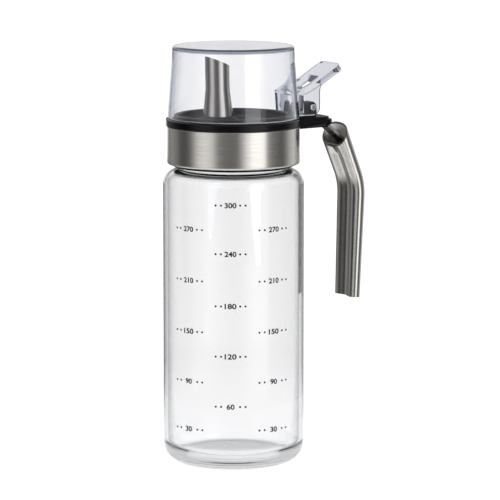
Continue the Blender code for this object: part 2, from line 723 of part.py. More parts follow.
def dust_cover():
    inner_rim = COVER_RIM_RADIUS - COVER_WALL
    inner_top = COVER_TOP_RADIUS - COVER_WALL
    inner_ceiling = COVER_TOP - COVER_WALL
    outer = [(0.0, COVER_TOP)]
    outer += arc(
        (COVER_TOP_RADIUS - COVER_FILLET, COVER_TOP - COVER_FILLET), COVER_FILLET, 90.0, 0.0
    )
    outer += [(COVER_RIM_RADIUS, COVER_BOTTOM), (0.0, COVER_BOTTOM)]
    inner = [(0.0, inner_ceiling)]
    inner += arc(
        (inner_top - COVER_INNER_FILLET, inner_ceiling - COVER_INNER_FILLET),
        COVER_INNER_FILLET,
        90.0,
        0.0,
        3,
    )
    inner += [(inner_rim, COVER_BOTTOM - CUT_OVERRUN), (0.0, COVER_BOTTOM - CUT_OVERRUN)]
    cover = plain_mesh(turned("dust_cover", outer, PARTS))
    hollow = plain_mesh(turned("cover_hollow", inner, CUTTERS))
    back = COVER_TOP_RADIUS - COVER_WALL
    plate_top = lever_mid(HINGE_PLATE_REACH)
    plate = box(
        "hinge_plate",
        (back, -HINGE_HALF_WIDTH + HINGE_EDGE_MARGIN, COVER_BOTTOM),
        (HINGE_PLATE_REACH, HINGE_HALF_WIDTH - HINGE_EDGE_MARGIN, plate_top),
        CUTTERS,
    )
    lever = thumb_lever(back)
    for tool in (plate, lever):
        combine(cover, tool, "UNION")
    for side in (-1, 1):
        middle = side * (HINGE_HALF_WIDTH - EAR_THICKNESS / 2 - HINGE_EDGE_MARGIN / 2)
        name = "ear_near" if side < 0 else "ear_far"
        ear = flat_piece(
            name,
            ear_outline(back),
            EAR_THICKNESS - HINGE_EDGE_MARGIN,
            side_place(middle),
            CUTTERS,
        )
        combine(cover, ear, "UNION")
    window = box(
        "lever_window",
        (WINDOW_START, -WINDOW_HALF_WIDTH, lever_mid(WINDOW_START) - WINDOW_CUT),
        (WINDOW_END, WINDOW_HALF_WIDTH, lever_mid(WINDOW_END) + WINDOW_CUT),
        CUTTERS,
    )
    ear_hole = cylinder(
        "ear_hole",
        PIN_RADIUS + PIN_CLEARANCE,
        2 * (HINGE_HALF_WIDTH + CUT_OVERRUN),
        (PIN_REACH, 0.0, PIN_HEIGHT),
        (0.0, 1.0, 0.0),
        CUTTERS,
    )
    for cutter in (hollow, window, ear_hole):
        combine(cover, cutter, "DIFFERENCE")
    return finish(cover, CLEAR_PLASTIC)


def hinge_pin():
    pin = cylinder(
        "hinge_pin",
        PIN_RADIUS,
        2 * HINGE_HALF_WIDTH,
        (PIN_REACH, 0.0, PIN_HEIGHT),
        (0.0, 1.0, 0.0),
        PARTS,
    )
    return finish(pin, STEEL)


def handle_section(width, depth, groove):
    # oval loop as (across, outward) pairs, pressed in by the groove along the middle of its inner face
    loop = []
    power = 2.0 / HANDLE_OVAL_POWER
    for index in range(HANDLE_SECTION_POINTS):
        angle = 2.0 * math.pi * (index + 0.5) / HANDLE_SECTION_POINTS
        cosine = math.cos(angle)
        sine = math.sin(angle)
        across = width / 2 * math.copysign(abs(cosine) ** power, cosine)
        outward = depth / 2 * math.copysign(abs(sine) ** power, sine)
        if sine < 0:
            outward += groove * math.exp(-((across / HANDLE_GROOVE_WIDTH) ** 2))
        loop.append((across, outward))
    return loop


def inset_loop(loop, distance):
    # the same loop drawn in by the thickness of the sheet
    count = len(loop)
    inset = []
    for index in range(count):
        before = loop[index - 1]
        after = loop[(index + 1) % count]
        along = Vector((after[0] - before[0], after[1] - before[1])).normalized()
        inset.append((loop[index][0] - along.y * distance, loop[index][1] + along.x * distance))
    return inset


def handle_stations():
    # centre, upward direction and share of the length from the mouth, top to bottom
    bend = Vector((HANDLE_BEND_REACH, HANDLE_BEND_HEIGHT))
    turn = HANDLE_UPPER_TILT + HANDLE_LOWER_TILT
    tangent = HANDLE_BEND_RADIUS * math.tan(turn / 2)
    up_dir = Vector((-math.sin(HANDLE_UPPER_TILT), math.cos(HANDLE_UPPER_TILT)))
    low_dir = Vector((math.sin(HANDLE_LOWER_TILT), math.cos(HANDLE_LOWER_TILT)))
    mouth = bend + up_dir * HANDLE_UPPER_LENGTH
    clear_of_cut = HANDLE_TOP_DEPTH / 2 * math.tan(HANDLE_CUT_ANGLE) + SEAT_GAP
    stations = [(mouth, up_dir), (mouth - up_dir * clear_of_cut, up_dir)]
    stations.append((mouth - up_dir * (clear_of_cut + HANDLE_GROOVE_RUN), up_dir))
    centre = bend + up_dir * tangent - Vector((up_dir.y, -up_dir.x)) * HANDLE_BEND_RADIUS
    for index in range(HANDLE_BEND_STATIONS + 1):
        tilt = HANDLE_UPPER_TILT - turn * index / HANDLE_BEND_STATIONS
        direction = Vector((-math.sin(tilt), math.cos(tilt)))
        outward = Vector((direction.y, -direction.x))
        stations.append((centre + outward * HANDLE_BEND_RADIUS, direction))
    bend_end = bend - low_dir * tangent
    end = bend - low_dir * HANDLE_LOWER_LENGTH
    for index in range(1, HANDLE_STRAIGHT_STATIONS + 1):
        stations.append((bend_end.lerp(end, index / HANDLE_STRAIGHT_STATIONS), low_dir))
    lengths = [0.0]
    for (here, _), (there, _) in zip(stations, stations[1:]):
        lengths.append(lengths[-1] + (there - here).length)
    return [(place, way, length / lengths[-1]) for (place, way), length in zip(stations, lengths)]


def handle_grip():
    # loft of the oval section along the bent centre line, outer and inner skin joined at both ends,
    # with the groove running out towards the mouth
    shape = bmesh.new()
    skins = ([], [])
    for number, (centre, direction, share) in enumerate(handle_stations()):
        outward = Vector((direction.y, -direction.x))
        width = HANDLE_TOP_WIDTH + (HANDLE_END_WIDTH - HANDLE_TOP_WIDTH) * share
        depth = HANDLE_TOP_DEPTH + (HANDLE_END_DEPTH - HANDLE_TOP_DEPTH) * share
        groove = HANDLE_GROOVE_DEPTH
        if number < len(HANDLE_GROOVE_MOUTH_SHARES):
            groove *= HANDLE_GROOVE_MOUTH_SHARES[number]
        outer = handle_section(width, depth, groove)
        slant = math.tan(HANDLE_CUT_ANGLE) if number == 0 else 0.0
        for skin, loop in zip(skins, (outer, inset_loop(outer, HANDLE_SHEET))):
            ring = []
            for across, out in loop:
                place = centre + outward * out + direction * (out * slant)
                ring.append(shape.verts.new((place.x, across, place.y)))
            skin.append(ring)
    count = HANDLE_SECTION_POINTS
    for skin in skins:
        for upper, lower in zip(skin, skin[1:]):
            for index in range(count):
                following = (index + 1) % count
                shape.faces.new((upper[index], upper[following], lower[following], lower[index]))
    for ring_number in (0, -1):
        outer_ring = skins[0][ring_number]
        inner_ring = skins[1][ring_number]
        for index in range(count):
            following = (index + 1) % count
            shape.faces.new(
                (outer_ring[index], outer_ring[following], inner_ring[following], inner_ring[index])
            )
    bmesh.ops.recalc_face_normals(shape, faces=shape.faces)
    mesh = bpy.data.meshes.new("handle_grip")
    shape.to_mesh(mesh)
    shape.free()
    return finish(add_object("handle_grip", mesh, PARTS), STEEL)


def strip_outline(points, half):
    # outline of a bent strip of even thickness along a row of points, with mitred bends
    sides = ([], [])
    for index, point in enumerate(points):
        before = points[max(index - 1, 0)]
        after = points[min(index + 1, len(points) - 1)]
        arrive = (point - before).normalized() if index else (after - point).normalized()
        leave = (after - point).normalized() if index < len(points) - 1 else arrive
        normal = Vector((-arrive.y - leave.y, arrive.x + leave.x)).normalized()
        mitre = half / normal.dot(Vector((-arrive.y, arrive.x)))
        sides[0].append((point.x - normal.x * mitre, point.y - normal.y * mitre))
        sides[1].append((point.x + normal.x * mitre, point.y + normal.y * mitre))
    return sides[0] + sides[1][::-1]


def handle_tongue():
    # flat steel strip from the recess under the bracket down into the mouth of the handle
    mouth, direction, _ = handle_stations()[0]
    outward = Vector((direction.y, -direction.x))
    half = TONGUE_THICKNESS / 2
    lie = HANDLE_TOP_DEPTH / 2 - HANDLE_SHEET - TONGUE_CLEARANCE - half
    line = mouth + outward * lie
    points = [
        Vector((TONGUE_ROOT, TONGUE_HEIGHT)),
        Vector((BRACKET_REACH - TONGUE_BEND_INSET, TONGUE_HEIGHT)),
        line - direction * TONGUE_ENTRY,
        line - direction * TONGUE_IN_HANDLE,
    ]
    tongue = flat_piece(
        "handle_tongue", strip_outline(points, half), 2 * TONGUE_HALF_WIDTH, side_place(), PARTS
    )
    # countersink that follows the screw's head with a small gap
    flare = (SCREW_HEAD_RADIUS - SCREW_RADIUS) / SCREW_HEAD_HEIGHT * SEAT_GAP
    hole_top_radius = SCREW_RADIUS + SEAT_GAP
    hole_base_radius = SCREW_HEAD_RADIUS + SEAT_GAP
    countersink = cylinder(
        "tongue_hole",
        hole_base_radius + flare,
        TONGUE_THICKNESS + 2 * SEAT_GAP,
        (SCREW_REACH, 0.0, TONGUE_HEIGHT),
        (0.0, 0.0, 1.0),
        CUTTERS,
        end_radius=hole_top_radius - flare,
    )
    combine(tongue, countersink, "DIFFERENCE")
    return finish(tongue, STEEL)


def handle_screw():
    head_top = SCREW_BOTTOM + SCREW_HEAD_HEIGHT
    profile = [
        (0.0, SCREW_TOP),
        (SCREW_RADIUS, SCREW_TOP),
        (SCREW_RADIUS, head_top),
        (SCREW_HEAD_RADIUS, SCREW_BOTTOM),
        (0.0, SCREW_BOTTOM),
    ]
    screw = plain_mesh(turned("handle_screw", profile, PARTS, steps=HOLE_STEPS))
    screw.data.transform(Matrix.Translation((SCREW_REACH, 0.0, 0.0)))
    return finish(screw, STEEL)


def pivot(name, place, children, parent=None):
    # an empty on a joint's axis, with the pieces that move about it as its children
    empty = bpy.data.objects.new(name, None)
    empty.empty_display_size = SPOUT_HEIGHT
    empty.location = place
    PARTS.objects.link(empty)
    bpy.context.view_layer.update()
    if parent is not None:
        empty.parent = parent
        empty.matrix_parent_inverse = parent.matrix_world.inverted()
        bpy.context.view_layer.update()
    for child in children:
        child.parent = empty
        child.matrix_parent_inverse = empty.matrix_world.inverted()
    return empty


def build():
    glass_bottle()
    gasket = mouth_gasket()
    cap_pieces = [
        inner_cap(),
        collar_band(),
        cap_ring(),
        spout_tube(),
        spout_ring("spout_seal", SEAL_WIDTH, SEAL_BOTTOM, SEAL_TOP, SILICONE),
        spout_ring("spout_retainer", RETAINER_WIDTH, RETAINER_BOTTOM, RETAINER_TOP, BLACK),
        vent_valve(),
        hinge_pin(),
        handle_grip(),
        handle_tongue(),
        handle_screw(),
    ]
    cover = dust_cover()
    cap_axis = pivot("cap_screw_axis", (0.0, 0.0, NECK_TOP), [gasket] + cap_pieces)
    pivot("cover_hinge_axis", (PIN_REACH, 0.0, PIN_HEIGHT), [cover], cap_axis)


build()
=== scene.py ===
import math

import bmesh
import bpy
from mathutils import Matrix, Vector


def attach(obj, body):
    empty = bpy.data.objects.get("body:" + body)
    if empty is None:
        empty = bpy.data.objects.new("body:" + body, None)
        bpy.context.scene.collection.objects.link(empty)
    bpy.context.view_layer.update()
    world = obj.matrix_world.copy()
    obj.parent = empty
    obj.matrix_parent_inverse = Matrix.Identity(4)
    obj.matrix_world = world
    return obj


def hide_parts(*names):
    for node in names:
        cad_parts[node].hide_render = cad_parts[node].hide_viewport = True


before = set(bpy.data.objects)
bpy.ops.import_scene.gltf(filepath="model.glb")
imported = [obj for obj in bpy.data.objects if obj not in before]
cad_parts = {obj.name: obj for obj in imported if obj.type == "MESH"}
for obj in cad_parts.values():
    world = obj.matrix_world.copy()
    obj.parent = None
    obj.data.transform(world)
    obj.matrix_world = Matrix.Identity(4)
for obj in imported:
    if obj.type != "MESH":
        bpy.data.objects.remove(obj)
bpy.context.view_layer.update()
mm = 0.001
print("frame loaded:", len(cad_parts), "nodes")


# Small tools

weldDistance = 0.002 * mm
heldLength, heldStep = 1.5 * mm, 0.15 * mm
sharpTurn = 0.6
nearEdge = 0.1 * mm


def inMm(**lengths):
    # settings written in millimetres, single or in tuples, turned into metres
    return {
        name: tuple(part * mm for part in length) if isinstance(length, tuple) else length * mm
        for name, length in lengths.items()
    }


def placed(name, data):
    piece = bpy.data.objects.new(name, data)
    bpy.context.scene.collection.objects.link(piece)
    return piece


def newPiece(name, mesh, material):
    mesh.materials.clear()
    mesh.materials.append(material)
    return placed(name, mesh)


def meshOf(name, shape):
    mesh = bpy.data.meshes.new(name)
    shape.to_mesh(mesh)
    shape.free()
    return mesh


def shapeOf(mesh):
    shape = bmesh.new()
    shape.from_mesh(mesh)
    return shape


def plainMesh(holder, name):
    # the evaluated result of an object as a plain mesh; the object itself goes
    bpy.context.view_layer.update()
    mesh = bpy.data.meshes.new_from_object(holder.evaluated_get(bpy.context.evaluated_depsgraph_get()))
    mesh.name = name
    holder.modifiers.clear()
    bpy.data.objects.remove(holder, do_unlink=True)
    return mesh


def meshFrom(name, shape, smoothAngle):
    # smooth mesh whose large faces keep their own direction beside small rounded ones
    bmesh.ops.remove_doubles(shape, verts=shape.verts, dist=weldDistance)
    bmesh.ops.recalc_face_normals(shape, faces=shape.faces)
    mesh = meshOf(name, shape)
    mesh.shade_smooth()
    mesh.set_sharp_from_angle(angle=math.radians(smoothAngle))
    holder = placed(name, mesh)
    weighted = holder.modifiers.new("weighted", "WEIGHTED_NORMAL")
    weighted.mode = "FACE_AREA"
    weighted.weight = 100
    weighted.keep_sharp = True
    return plainMesh(holder, name)


def settle(name, mesh, material, node, slot, body):
    piece = newPiece(name, mesh, material)
    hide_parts(node)
    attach(piece, body)
    return piece


def settleShape(name, shape, smoothAngle, *place):
    settle(name, meshFrom(name, shape, smoothAngle), *place)


def heldEnds(profile, closed):
    # extra points close to both ends of each long stretch, which keep it straight where it is shaded
    held = []
    for index, point in enumerate(profile):
        held.append(point)
        if index == len(profile) - 1 and not closed:
            break
        here, there = Vector(point), Vector(profile[(index + 1) % len(profile)])
        length = (there - here).length
        if length > heldLength:
            step = (there - here) * (heldStep / length)
            held += [tuple(here + step), tuple(there - step)]
    return held


def arcPoints(centre, radius, start, end, steps):
    # points of an arc between two angles in degrees, both ends included
    angles = [math.radians(start + (end - start) * index / steps) for index in range(steps + 1)]
    return [(centre[0] + radius * math.cos(angle), centre[1] + radius * math.sin(angle)) for angle in angles]


def cornerArc(across, height, radius, start, end, steps):
    # the arc that rounds a square corner of a profile; its angles tell which corner it is
    middle = math.radians((start + end) / 2)
    centre = (across - math.copysign(radius, math.cos(middle)), height - math.copysign(radius, math.sin(middle)))
    return arcPoints(centre, radius, start, end, steps)


def roundOutline(centre, radius, count):
    return arcPoints(centre, radius, 0, 360 * (count - 1) / count, count - 1)


def boxOutline(left, right, low, high):
    return [(left, low), (right, low), (right, high), (left, high)]


def roundedPath(corners, radii, steps, closed=True):
    # a polyline whose corners are rounded, each with its own radius
    points = []
    count = len(corners)
    for index, radius in enumerate(radii):
        here = Vector(corners[index])
        if radius == 0 or (not closed and index in (0, count - 1)):
            points.append(tuple(here))
            continue
        before = (Vector(corners[index - 1]) - here).normalized()
        after = (Vector(corners[(index + 1) % count]) - here).normalized()
        half = before.angle(after) / 2
        reach = radius / math.tan(half)
        centre = here + (before + after).normalized() * (radius / math.sin(half))
        first = here + before * reach - centre
        last = here + after * reach - centre
        turn = first.angle_signed(last)
        for step in range(steps + 1):
            angle = -turn * step / steps
            cosine, sine = math.cos(angle), math.sin(angle)
            spoke = Vector((first.x * cosine - first.y * sine, first.x * sine + first.y * cosine))
            points.append((centre.x + spoke.x, centre.y + spoke.y))
    return points


def turnedShape(profile, steps, closed=False, middle=(0.0, 0.0), radiusAt=None):
    # turns (radius, height) points round an upright axis; radiusAt may change a point's radius by angle
    shape = bmesh.new()
    rings = []
    for radius, height in heldEnds(profile, closed):
        ring = []
        for index in range(steps if radius else 1):
            angle = 2.0 * math.pi * index / steps
            reach = radiusAt(radius, height, angle) if radiusAt else radius
            place = (middle[0] + reach * math.cos(angle), middle[1] + reach * math.sin(angle), height)
            ring.append(shape.verts.new(place))
        rings.append(ring)
    for upper, lower in zip(rings, rings[1:] + rings[:closed]):
        for index in range(steps):
            following = (index + 1) % steps
            corners = [
                upper[index % len(upper)], lower[index % len(lower)],
                lower[following % len(lower)], upper[following % len(upper)],
            ]
            # a point on the axis counts once, and its faces are triangles
            shape.faces.new(list(dict.fromkeys(corners)))
    return shape


def plateShape(outline, low, high, upright=True):
    # an outline in the XZ plane pulled along Y, or one in plan pulled up
    shape = bmesh.new()
    base, top = (
        [shape.verts.new((a, level, b) if upright else (a, b, level)) for a, b in outline] for level in (low, high)
    )
    shape.faces.new(base[::-1])
    shape.faces.new(top)
    for index in range(len(outline)):
        following = (index + 1) % len(outline)
        shape.faces.new((base[index], base[following], top[following], top[index]))
    bmesh.ops.recalc_face_normals(shape, faces=shape.faces)
    return shape


def flatPlate(outline, low, high):
    return plateShape(outline, low, high, upright=False)


def sharpWhere(inside, angle=sharpTurn):
    # chooses the sharp edges whose two ends both lie inside a part of the shape
    def chosen(edge):
        sharp = len(edge.link_faces) == 2 and edge.calc_face_angle() > angle
        return sharp and all(inside(vert.co) for vert in edge.verts)

    return chosen


def bevelEdges(shape, chosen, width, segments, clamp=True):
    edges = [edge for edge in shape.edges if chosen(edge)]
    bmesh.ops.bevel(
        shape, geom=edges, offset=width, segments=segments, profile=0.5, affect="EDGES", clamp_overlap=clamp,
    )
    return shape


def combined(base, added, removed):
    # exact Booleans in turn: some shapes joined to the base, then others cut from it
    piece = placed("base", meshOf("base", base))
    tools = []
    for shape, operation in [(shape, "UNION") for shape in added] + [(shape, "DIFFERENCE") for shape in removed]:
        tools.append(placed("tool", meshOf("tool", shape)))
        boolean = piece.modifiers.new("cut", "BOOLEAN")
        boolean.object = tools[-1]
        boolean.operation = operation
        boolean.solver = "EXACT"
    result = plainMesh(piece, "combined")
    for tool in tools:
        bpy.data.objects.remove(tool, do_unlink=True)
    return shapeOf(result)


# Materials

def wire(node, inputs):
    # output sockets are linked, the rest are constants; colours come without their alpha
    for key, value in inputs.items():
        socket = node.inputs[key]
        if isinstance(value, bpy.types.NodeSocket):
            node.id_data.links.new(value, socket)
        else:
            socket.default_value = (*value, 1.0) if socket.type == "RGBA" else value
    return node


def addNode(tree, kind, inputs=None, **options):
    node = tree.nodes.new(kind)
    for key, value in options.items():
        setattr(node, key, value)
    return wire(node, inputs or {})


def newMaterial(name, settings):
    material = bpy.data.materials.new(name)
    material.use_nodes = True
    return material, material.node_tree, wire(material.node_tree.nodes["Principled BSDF"], settings)


def surface(tree, output):
    wire(tree.nodes["Material Output"], {"Surface": output})


def ramp(tree, factor, stops):
    node = addNode(tree, "ShaderNodeValToRGB", {"Fac": factor})
    elements = node.color_ramp.elements
    while len(elements) < len(stops):
        elements.new(0.5)
    for element, (place, value) in zip(elements, stops):
        element.position = place
        element.color = (*(value if isinstance(value, tuple) else [value] * 3), 1.0)
    return node.outputs["Color"]


def mathNode(tree, operation, first, second=0.0, third=0.0):
    return addNode(tree, "ShaderNodeMath", {0: first, 1: second, 2: third}, operation=operation).outputs[0]


def mixColour(tree, share, first, second, blend="MIX"):
    inputs = {0: share, 6: first, 7: second}
    return addNode(tree, "ShaderNodeMix", inputs, data_type="RGBA", blend_type=blend).outputs[2]


def spread(tree, value, start, end, low=0.0, high=1.0):
    # a value that runs from start to end, laid over the span from low to high
    inputs = {"Value": value, "From Min": start, "From Max": end, "To Min": low, "To Max": high}
    return addNode(tree, "ShaderNodeMapRange", inputs).outputs[0]


def objectPlace(tree):
    return addNode(tree, "ShaderNodeTexCoord").outputs["Object"]


def axesOf(tree, place):
    return addNode(tree, "ShaderNodeSeparateXYZ", {0: place}).outputs


def fromAxis(tree, place):
    flat = addNode(tree, "ShaderNodeVectorMath", {0: place, 1: (1.0, 1.0, 0.0)}, operation="MULTIPLY").outputs[0]
    return addNode(tree, "ShaderNodeVectorMath", {0: flat}, operation="LENGTH").outputs["Value"]


def noise(tree, place, scale, detail, roughness):
    inputs = {"Vector": place, "Scale": scale, "Detail": detail, "Roughness": roughness}
    return addNode(tree, "ShaderNodeTexNoise", inputs).outputs["Fac"]


def bumped(tree, height, strength, distance):
    inputs = {"Height": height, "Strength": strength, "Distance": distance}
    return addNode(tree, "ShaderNodeBump", inputs).outputs["Normal"]


def clearFinish(name, look):
    # clear glass or plastic: full transmission, with painted shade in its colour where light enters or leaves the wall
    # at a slant
    material, tree, shader = newMaterial(name, {
        "Transmission Weight": 1.0, "Roughness": 0.0, "IOR": look["ior"], "Base Color": look["colour"],
    })
    rays = addNode(tree, "ShaderNodeLightPath").outputs
    place = objectPlace(tree)
    across, _, height = axesOf(tree, place)
    slant = addNode(tree, "ShaderNodeFresnel", {"IOR": look["ior"]}).outputs[0]
    side = addNode(tree, "ShaderNodeNewGeometry").outputs["Backfacing"]
    # painted shade: the colour darkens with the slant of the wall, most on the side where light leaves it
    tintAndShade = mixColour(tree, side, ramp(tree, slant, look["enterShadeStops"]), ramp(tree, slant, look["leaveShadeStops"]))
    if "solid" in look:
        # the solid lever and hinge plate take more colour than the thin wall
        start, end, colour = look["solid"]
        tintAndShade = mixColour(tree, spread(tree, across, start, end), tintAndShade, colour, "MULTIPLY")
    if "thickBaseShade" in look:
        # the thick base gets a softer painted shade at its slanting edges
        start, end, colour = look["thickBaseShade"]
        tintAndShade = mixColour(tree, mathNode(tree, "MULTIPLY", spread(tree, height, end, start), side), tintAndShade, colour)
    # painted shade: what has been mirrored inside the wall leaves it darker, as a thin line along the edges
    mirroredOnce = mathNode(tree, "GREATER_THAN", rays["Glossy Depth"], 0.5)
    tintAndShade = mixColour(tree, mathNode(tree, "MULTIPLY", mirroredOnce, side), tintAndShade, look["mirroredShade"], "MULTIPLY")
    waves = noise(tree, place, look["waveScale"], 1.0, 0.4)
    wire(shader, {"Base Color": tintAndShade, "Normal": bumped(tree, waves, look["waveStrength"], look["waveDepth"])})
    if "frostedFoot" in look:
        # the moulded foot is slightly frosted and shows as a light line
        start, end, clear = look["frostedFoot"]
        wire(shader, {"Transmission Weight": spread(tree, height, start, end, clear)})
    # lamps and mirrored rays from the steel pass straight through, so that neither turns black
    passed = mathNode(tree, "GREATER_THAN", rays["Transparent Depth"], 0.5)
    outside = mathNode(tree, "MAXIMUM", mathNode(tree, "SUBTRACT", 1.0, side), passed)
    mirrored = mathNode(tree, "SUBTRACT", rays["Is Glossy Ray"], rays["Is Transmission Ray"])
    skip = mathNode(tree, "MULTIPLY", mathNode(tree, "MAXIMUM", mirrored, 0.0), outside)
    skip = mathNode(tree, "MAXIMUM", skip, rays["Is Shadow Ray"])
    # light caught inside a solid edge leaves it in the end instead of dying, in a darker colour that paints shade along
    # the edges
    tooDeep = mathNode(tree, "GREATER_THAN", rays["Ray Depth"], look["caughtDepth"])
    mirroredInside = mathNode(tree, "GREATER_THAN", rays["Glossy Depth"], look["caughtMirrors"])
    caught = mathNode(tree, "MAXIMUM", tooDeep, mirroredInside)
    passing = mixColour(tree, caught, look["shadow"], look["caughtShade"])
    through = addNode(tree, "ShaderNodeBsdfTransparent", {"Color": passing}).outputs[0]
    skip = mathNode(tree, "MAXIMUM", skip, caught)
    surface(tree, addNode(tree, "ShaderNodeMixShader", {0: skip, 1: shader.outputs[0], 2: through}).outputs[0])
    return material


def brushedSteel(name, look):
    # steel with brush lines that run round the axis where it has a line count, or else along the piece
    grain = steelGrain
    material, tree, shader = newMaterial(name, {
        "Metallic": 1.0, "Roughness": look["roughness"], "Base Color": look["colour"],
        "Anisotropic": look.get("anisotropic", 0.0),
    })
    place = objectPlace(tree)
    if "lineCount" in look:
        across, deep, height = axesOf(tree, place)
        around = mathNode(tree, "MULTIPLY", mathNode(tree, "ARCTAN2", deep, across), look["lineLength"])
        along = mathNode(tree, "MULTIPLY", height, look["lineCount"])
        lines = addNode(tree, "ShaderNodeCombineXYZ", {0: around, 1: along}).outputs[0]
        tangent = addNode(tree, "ShaderNodeTangent", direction_type="RADIAL", axis="Z").outputs[0]
        wire(shader, {"Anisotropic Rotation": grain["turn"], "Tangent": tangent})
    else:
        lines = addNode(tree, "ShaderNodeMapping", {"Vector": place, "Scale": look["lineScale"]}).outputs[0]
    streaks = noise(tree, lines, 1.0, 4.0, 0.6)
    cloud = mathNode(tree, "MULTIPLY", noise(tree, place, grain["cloudScale"], 3.0, 0.5), grain["cloudShare"])
    rough = mathNode(tree, "MULTIPLY_ADD", streaks, grain["streakShare"], cloud)
    middle, change = look["roughness"], look["roughSpread"]
    wire(shader, {
        "Base Color": mixColour(tree, ramp(tree, streaks, grain["streakStops"]), *look["shades"]),
        "Roughness": spread(tree, rough, 0.0, 1.0, middle - change, middle + change),
        "Normal": bumped(tree, streaks, look["bump"], grain["depth"]),
    })
    return material


def mouldedPlastic(name, look):
    colour, middle, change = look["colour"], look["roughness"], plasticGrain["roughSpread"]
    material, tree, shader = newMaterial(name, {
        "Base Color": colour, "Roughness": middle, "Specular IOR Level": look["specular"],
    })
    place = objectPlace(tree)
    grain = noise(tree, place, look["grainScale"], 3.0, 0.6)
    cloud = noise(tree, place, plasticGrain["cloudScale"], 2.0, 0.5)
    darker = tuple(channel * look["shade"] for channel in colour)
    wire(shader, {
        "Base Color": mixColour(tree, cloud, darker, colour),
        "Roughness": spread(tree, grain, 0.0, 1.0, middle - change, middle + change),
        "Normal": bumped(tree, grain, look["bump"], plasticGrain["depth"]),
    })
    return material


steelGrain = {
    "streakStops": ((0.25, 0.0), (0.75, 1.0)), "streakShare": 0.7, "cloudScale": 90.0, "cloudShare": 0.3,
    "depth": 0.02 * mm, "turn": 0.25,
}
plasticGrain = {"roughSpread": 0.06, "cloudScale": 70.0, "depth": 0.03 * mm}
clearGlass = clearFinish("clearGlass", {
    "colour": (0.97, 0.975, 0.975), "ior": 1.47,
    # painted shade at slanting walls, as light enters and as it leaves the glass
    "enterShadeStops": ((0.0, (0.91, 0.91, 0.915)), (0.2, (0.88, 0.88, 0.885)), (1.0, (0.80, 0.805, 0.81))),
    "leaveShadeStops": (
        (0.0, (0.91, 0.91, 0.915)), (0.12, (0.88, 0.88, 0.885)), (0.35, (0.34, 0.345, 0.355)),
        (0.85, (0.26, 0.265, 0.275)), (1.0, (0.93, 0.93, 0.935)),
    ),
    # lighter painted shade at the edges low in the thick base
    "thickBaseShade": (5.0 * mm, 9.0 * mm, (0.86, 0.865, 0.875)),
    # painted shade for light mirrored inside the glass wall
    "mirroredShade": (0.72, 0.73, 0.745),
    # painted shade for light caught in the glass edges
    "caughtDepth": 9.5, "caughtMirrors": 2.5, "caughtShade": (0.66, 0.67, 0.68),
    "waveScale": 28.0, "waveStrength": 0.08, "waveDepth": 0.3 * mm,
    "shadow": (0.90, 0.91, 0.91),
})
clearPlastic = clearFinish("clearPlastic", {
    "colour": (0.955, 0.955, 0.98), "ior": 1.49,
    # painted shade at slanting walls, as light enters and as it leaves the plastic
    "enterShadeStops": ((0.0, (0.95, 0.95, 0.96)), (0.2, (0.925, 0.93, 0.95)), (1.0, (0.84, 0.85, 0.89))),
    "leaveShadeStops": (
        (0.0, (0.95, 0.95, 0.96)), (0.12, (0.915, 0.92, 0.94)), (0.35, (0.42, 0.44, 0.52)),
        (0.85, (0.34, 0.37, 0.46)), (1.0, (0.94, 0.945, 0.96)),
    ),
    "solid": (30.2 * mm, 31.4 * mm, (0.70, 0.71, 0.745)),
    "frostedFoot": (153.7 * mm, 153.95 * mm, 0.5),
    # painted shade for light mirrored inside the plastic wall
    "mirroredShade": (0.45, 0.465, 0.52),
    # painted shade for light caught in the plastic edges
    "caughtDepth": 4.5, "caughtMirrors": 1.5, "caughtShade": (0.62, 0.65, 0.71),
    "waveScale": 60.0, "waveStrength": 0.12, "waveDepth": 0.3 * mm,
    "shadow": (0.88, 0.88, 0.90),
})
bandSteel = brushedSteel("bandSteel", {
    "colour": (0.60, 0.58, 0.55), "shades": ((0.52, 0.50, 0.47), (0.68, 0.66, 0.63)),
    "roughness": 0.25, "roughSpread": 0.05, "anisotropic": 0.75,
    "lineLength": 2.5, "lineCount": 4200.0, "bump": 0.25,
})
spoutSteel = brushedSteel("spoutSteel", {
    "colour": (0.58, 0.56, 0.53), "shades": ((0.52, 0.50, 0.47), (0.64, 0.62, 0.59)),
    "roughness": 0.15, "roughSpread": 0.03, "lineScale": (1500.0, 1500.0, 40.0), "bump": 0.08,
})
handleSteel = brushedSteel("handleSteel", {
    "colour": (0.60, 0.58, 0.55), "shades": ((0.52, 0.50, 0.47), (0.66, 0.64, 0.61)),
    "roughness": 0.17, "roughSpread": 0.04, "lineScale": (1400.0, 1400.0, 30.0), "bump": 0.10,
})
# the inside of the handle: duller, and painted lighter for the light that bounces inside the tube
innerPaintedLightSteel = brushedSteel("innerPaintedLightSteel", {
    "colour": (0.88, 0.86, 0.82), "shades": ((0.84, 0.82, 0.78), (0.92, 0.90, 0.86)),
    "roughness": 0.32, "roughSpread": 0.05, "lineScale": (500.0, 500.0, 60.0), "bump": 0.10,
})
# the cut edges of the handle, painted dark for the dark outline they show
cutPaintedShadeSteel = brushedSteel("cutPaintedShadeSteel", {
    "colour": (0.10, 0.095, 0.09), "shades": ((0.07, 0.066, 0.062), (0.13, 0.125, 0.12)),
    "roughness": 0.35, "roughSpread": 0.05, "lineScale": (900.0, 900.0, 900.0), "bump": 0.20,
})
blackPlastic = mouldedPlastic("blackPlastic", {
    "colour": (0.004, 0.004, 0.005), "shade": 0.8, "roughness": 0.16, "specular": 0.18,
    "grainScale": 2600.0, "bump": 0.04,
})
silicone = mouldedPlastic("silicone", {
    "colour": (0.42, 0.43, 0.44), "shade": 0.9, "roughness": 0.6, "specular": 0.4,
    "grainScale": 900.0, "bump": 0.1,
})
blackInk = mouldedPlastic("blackInk", {
    "colour": (0.008, 0.008, 0.009), "shade": 0.8, "roughness": 0.45, "specular": 0.15,
    "grainScale": 3000.0, "bump": 0.05,
})
print("materials made")


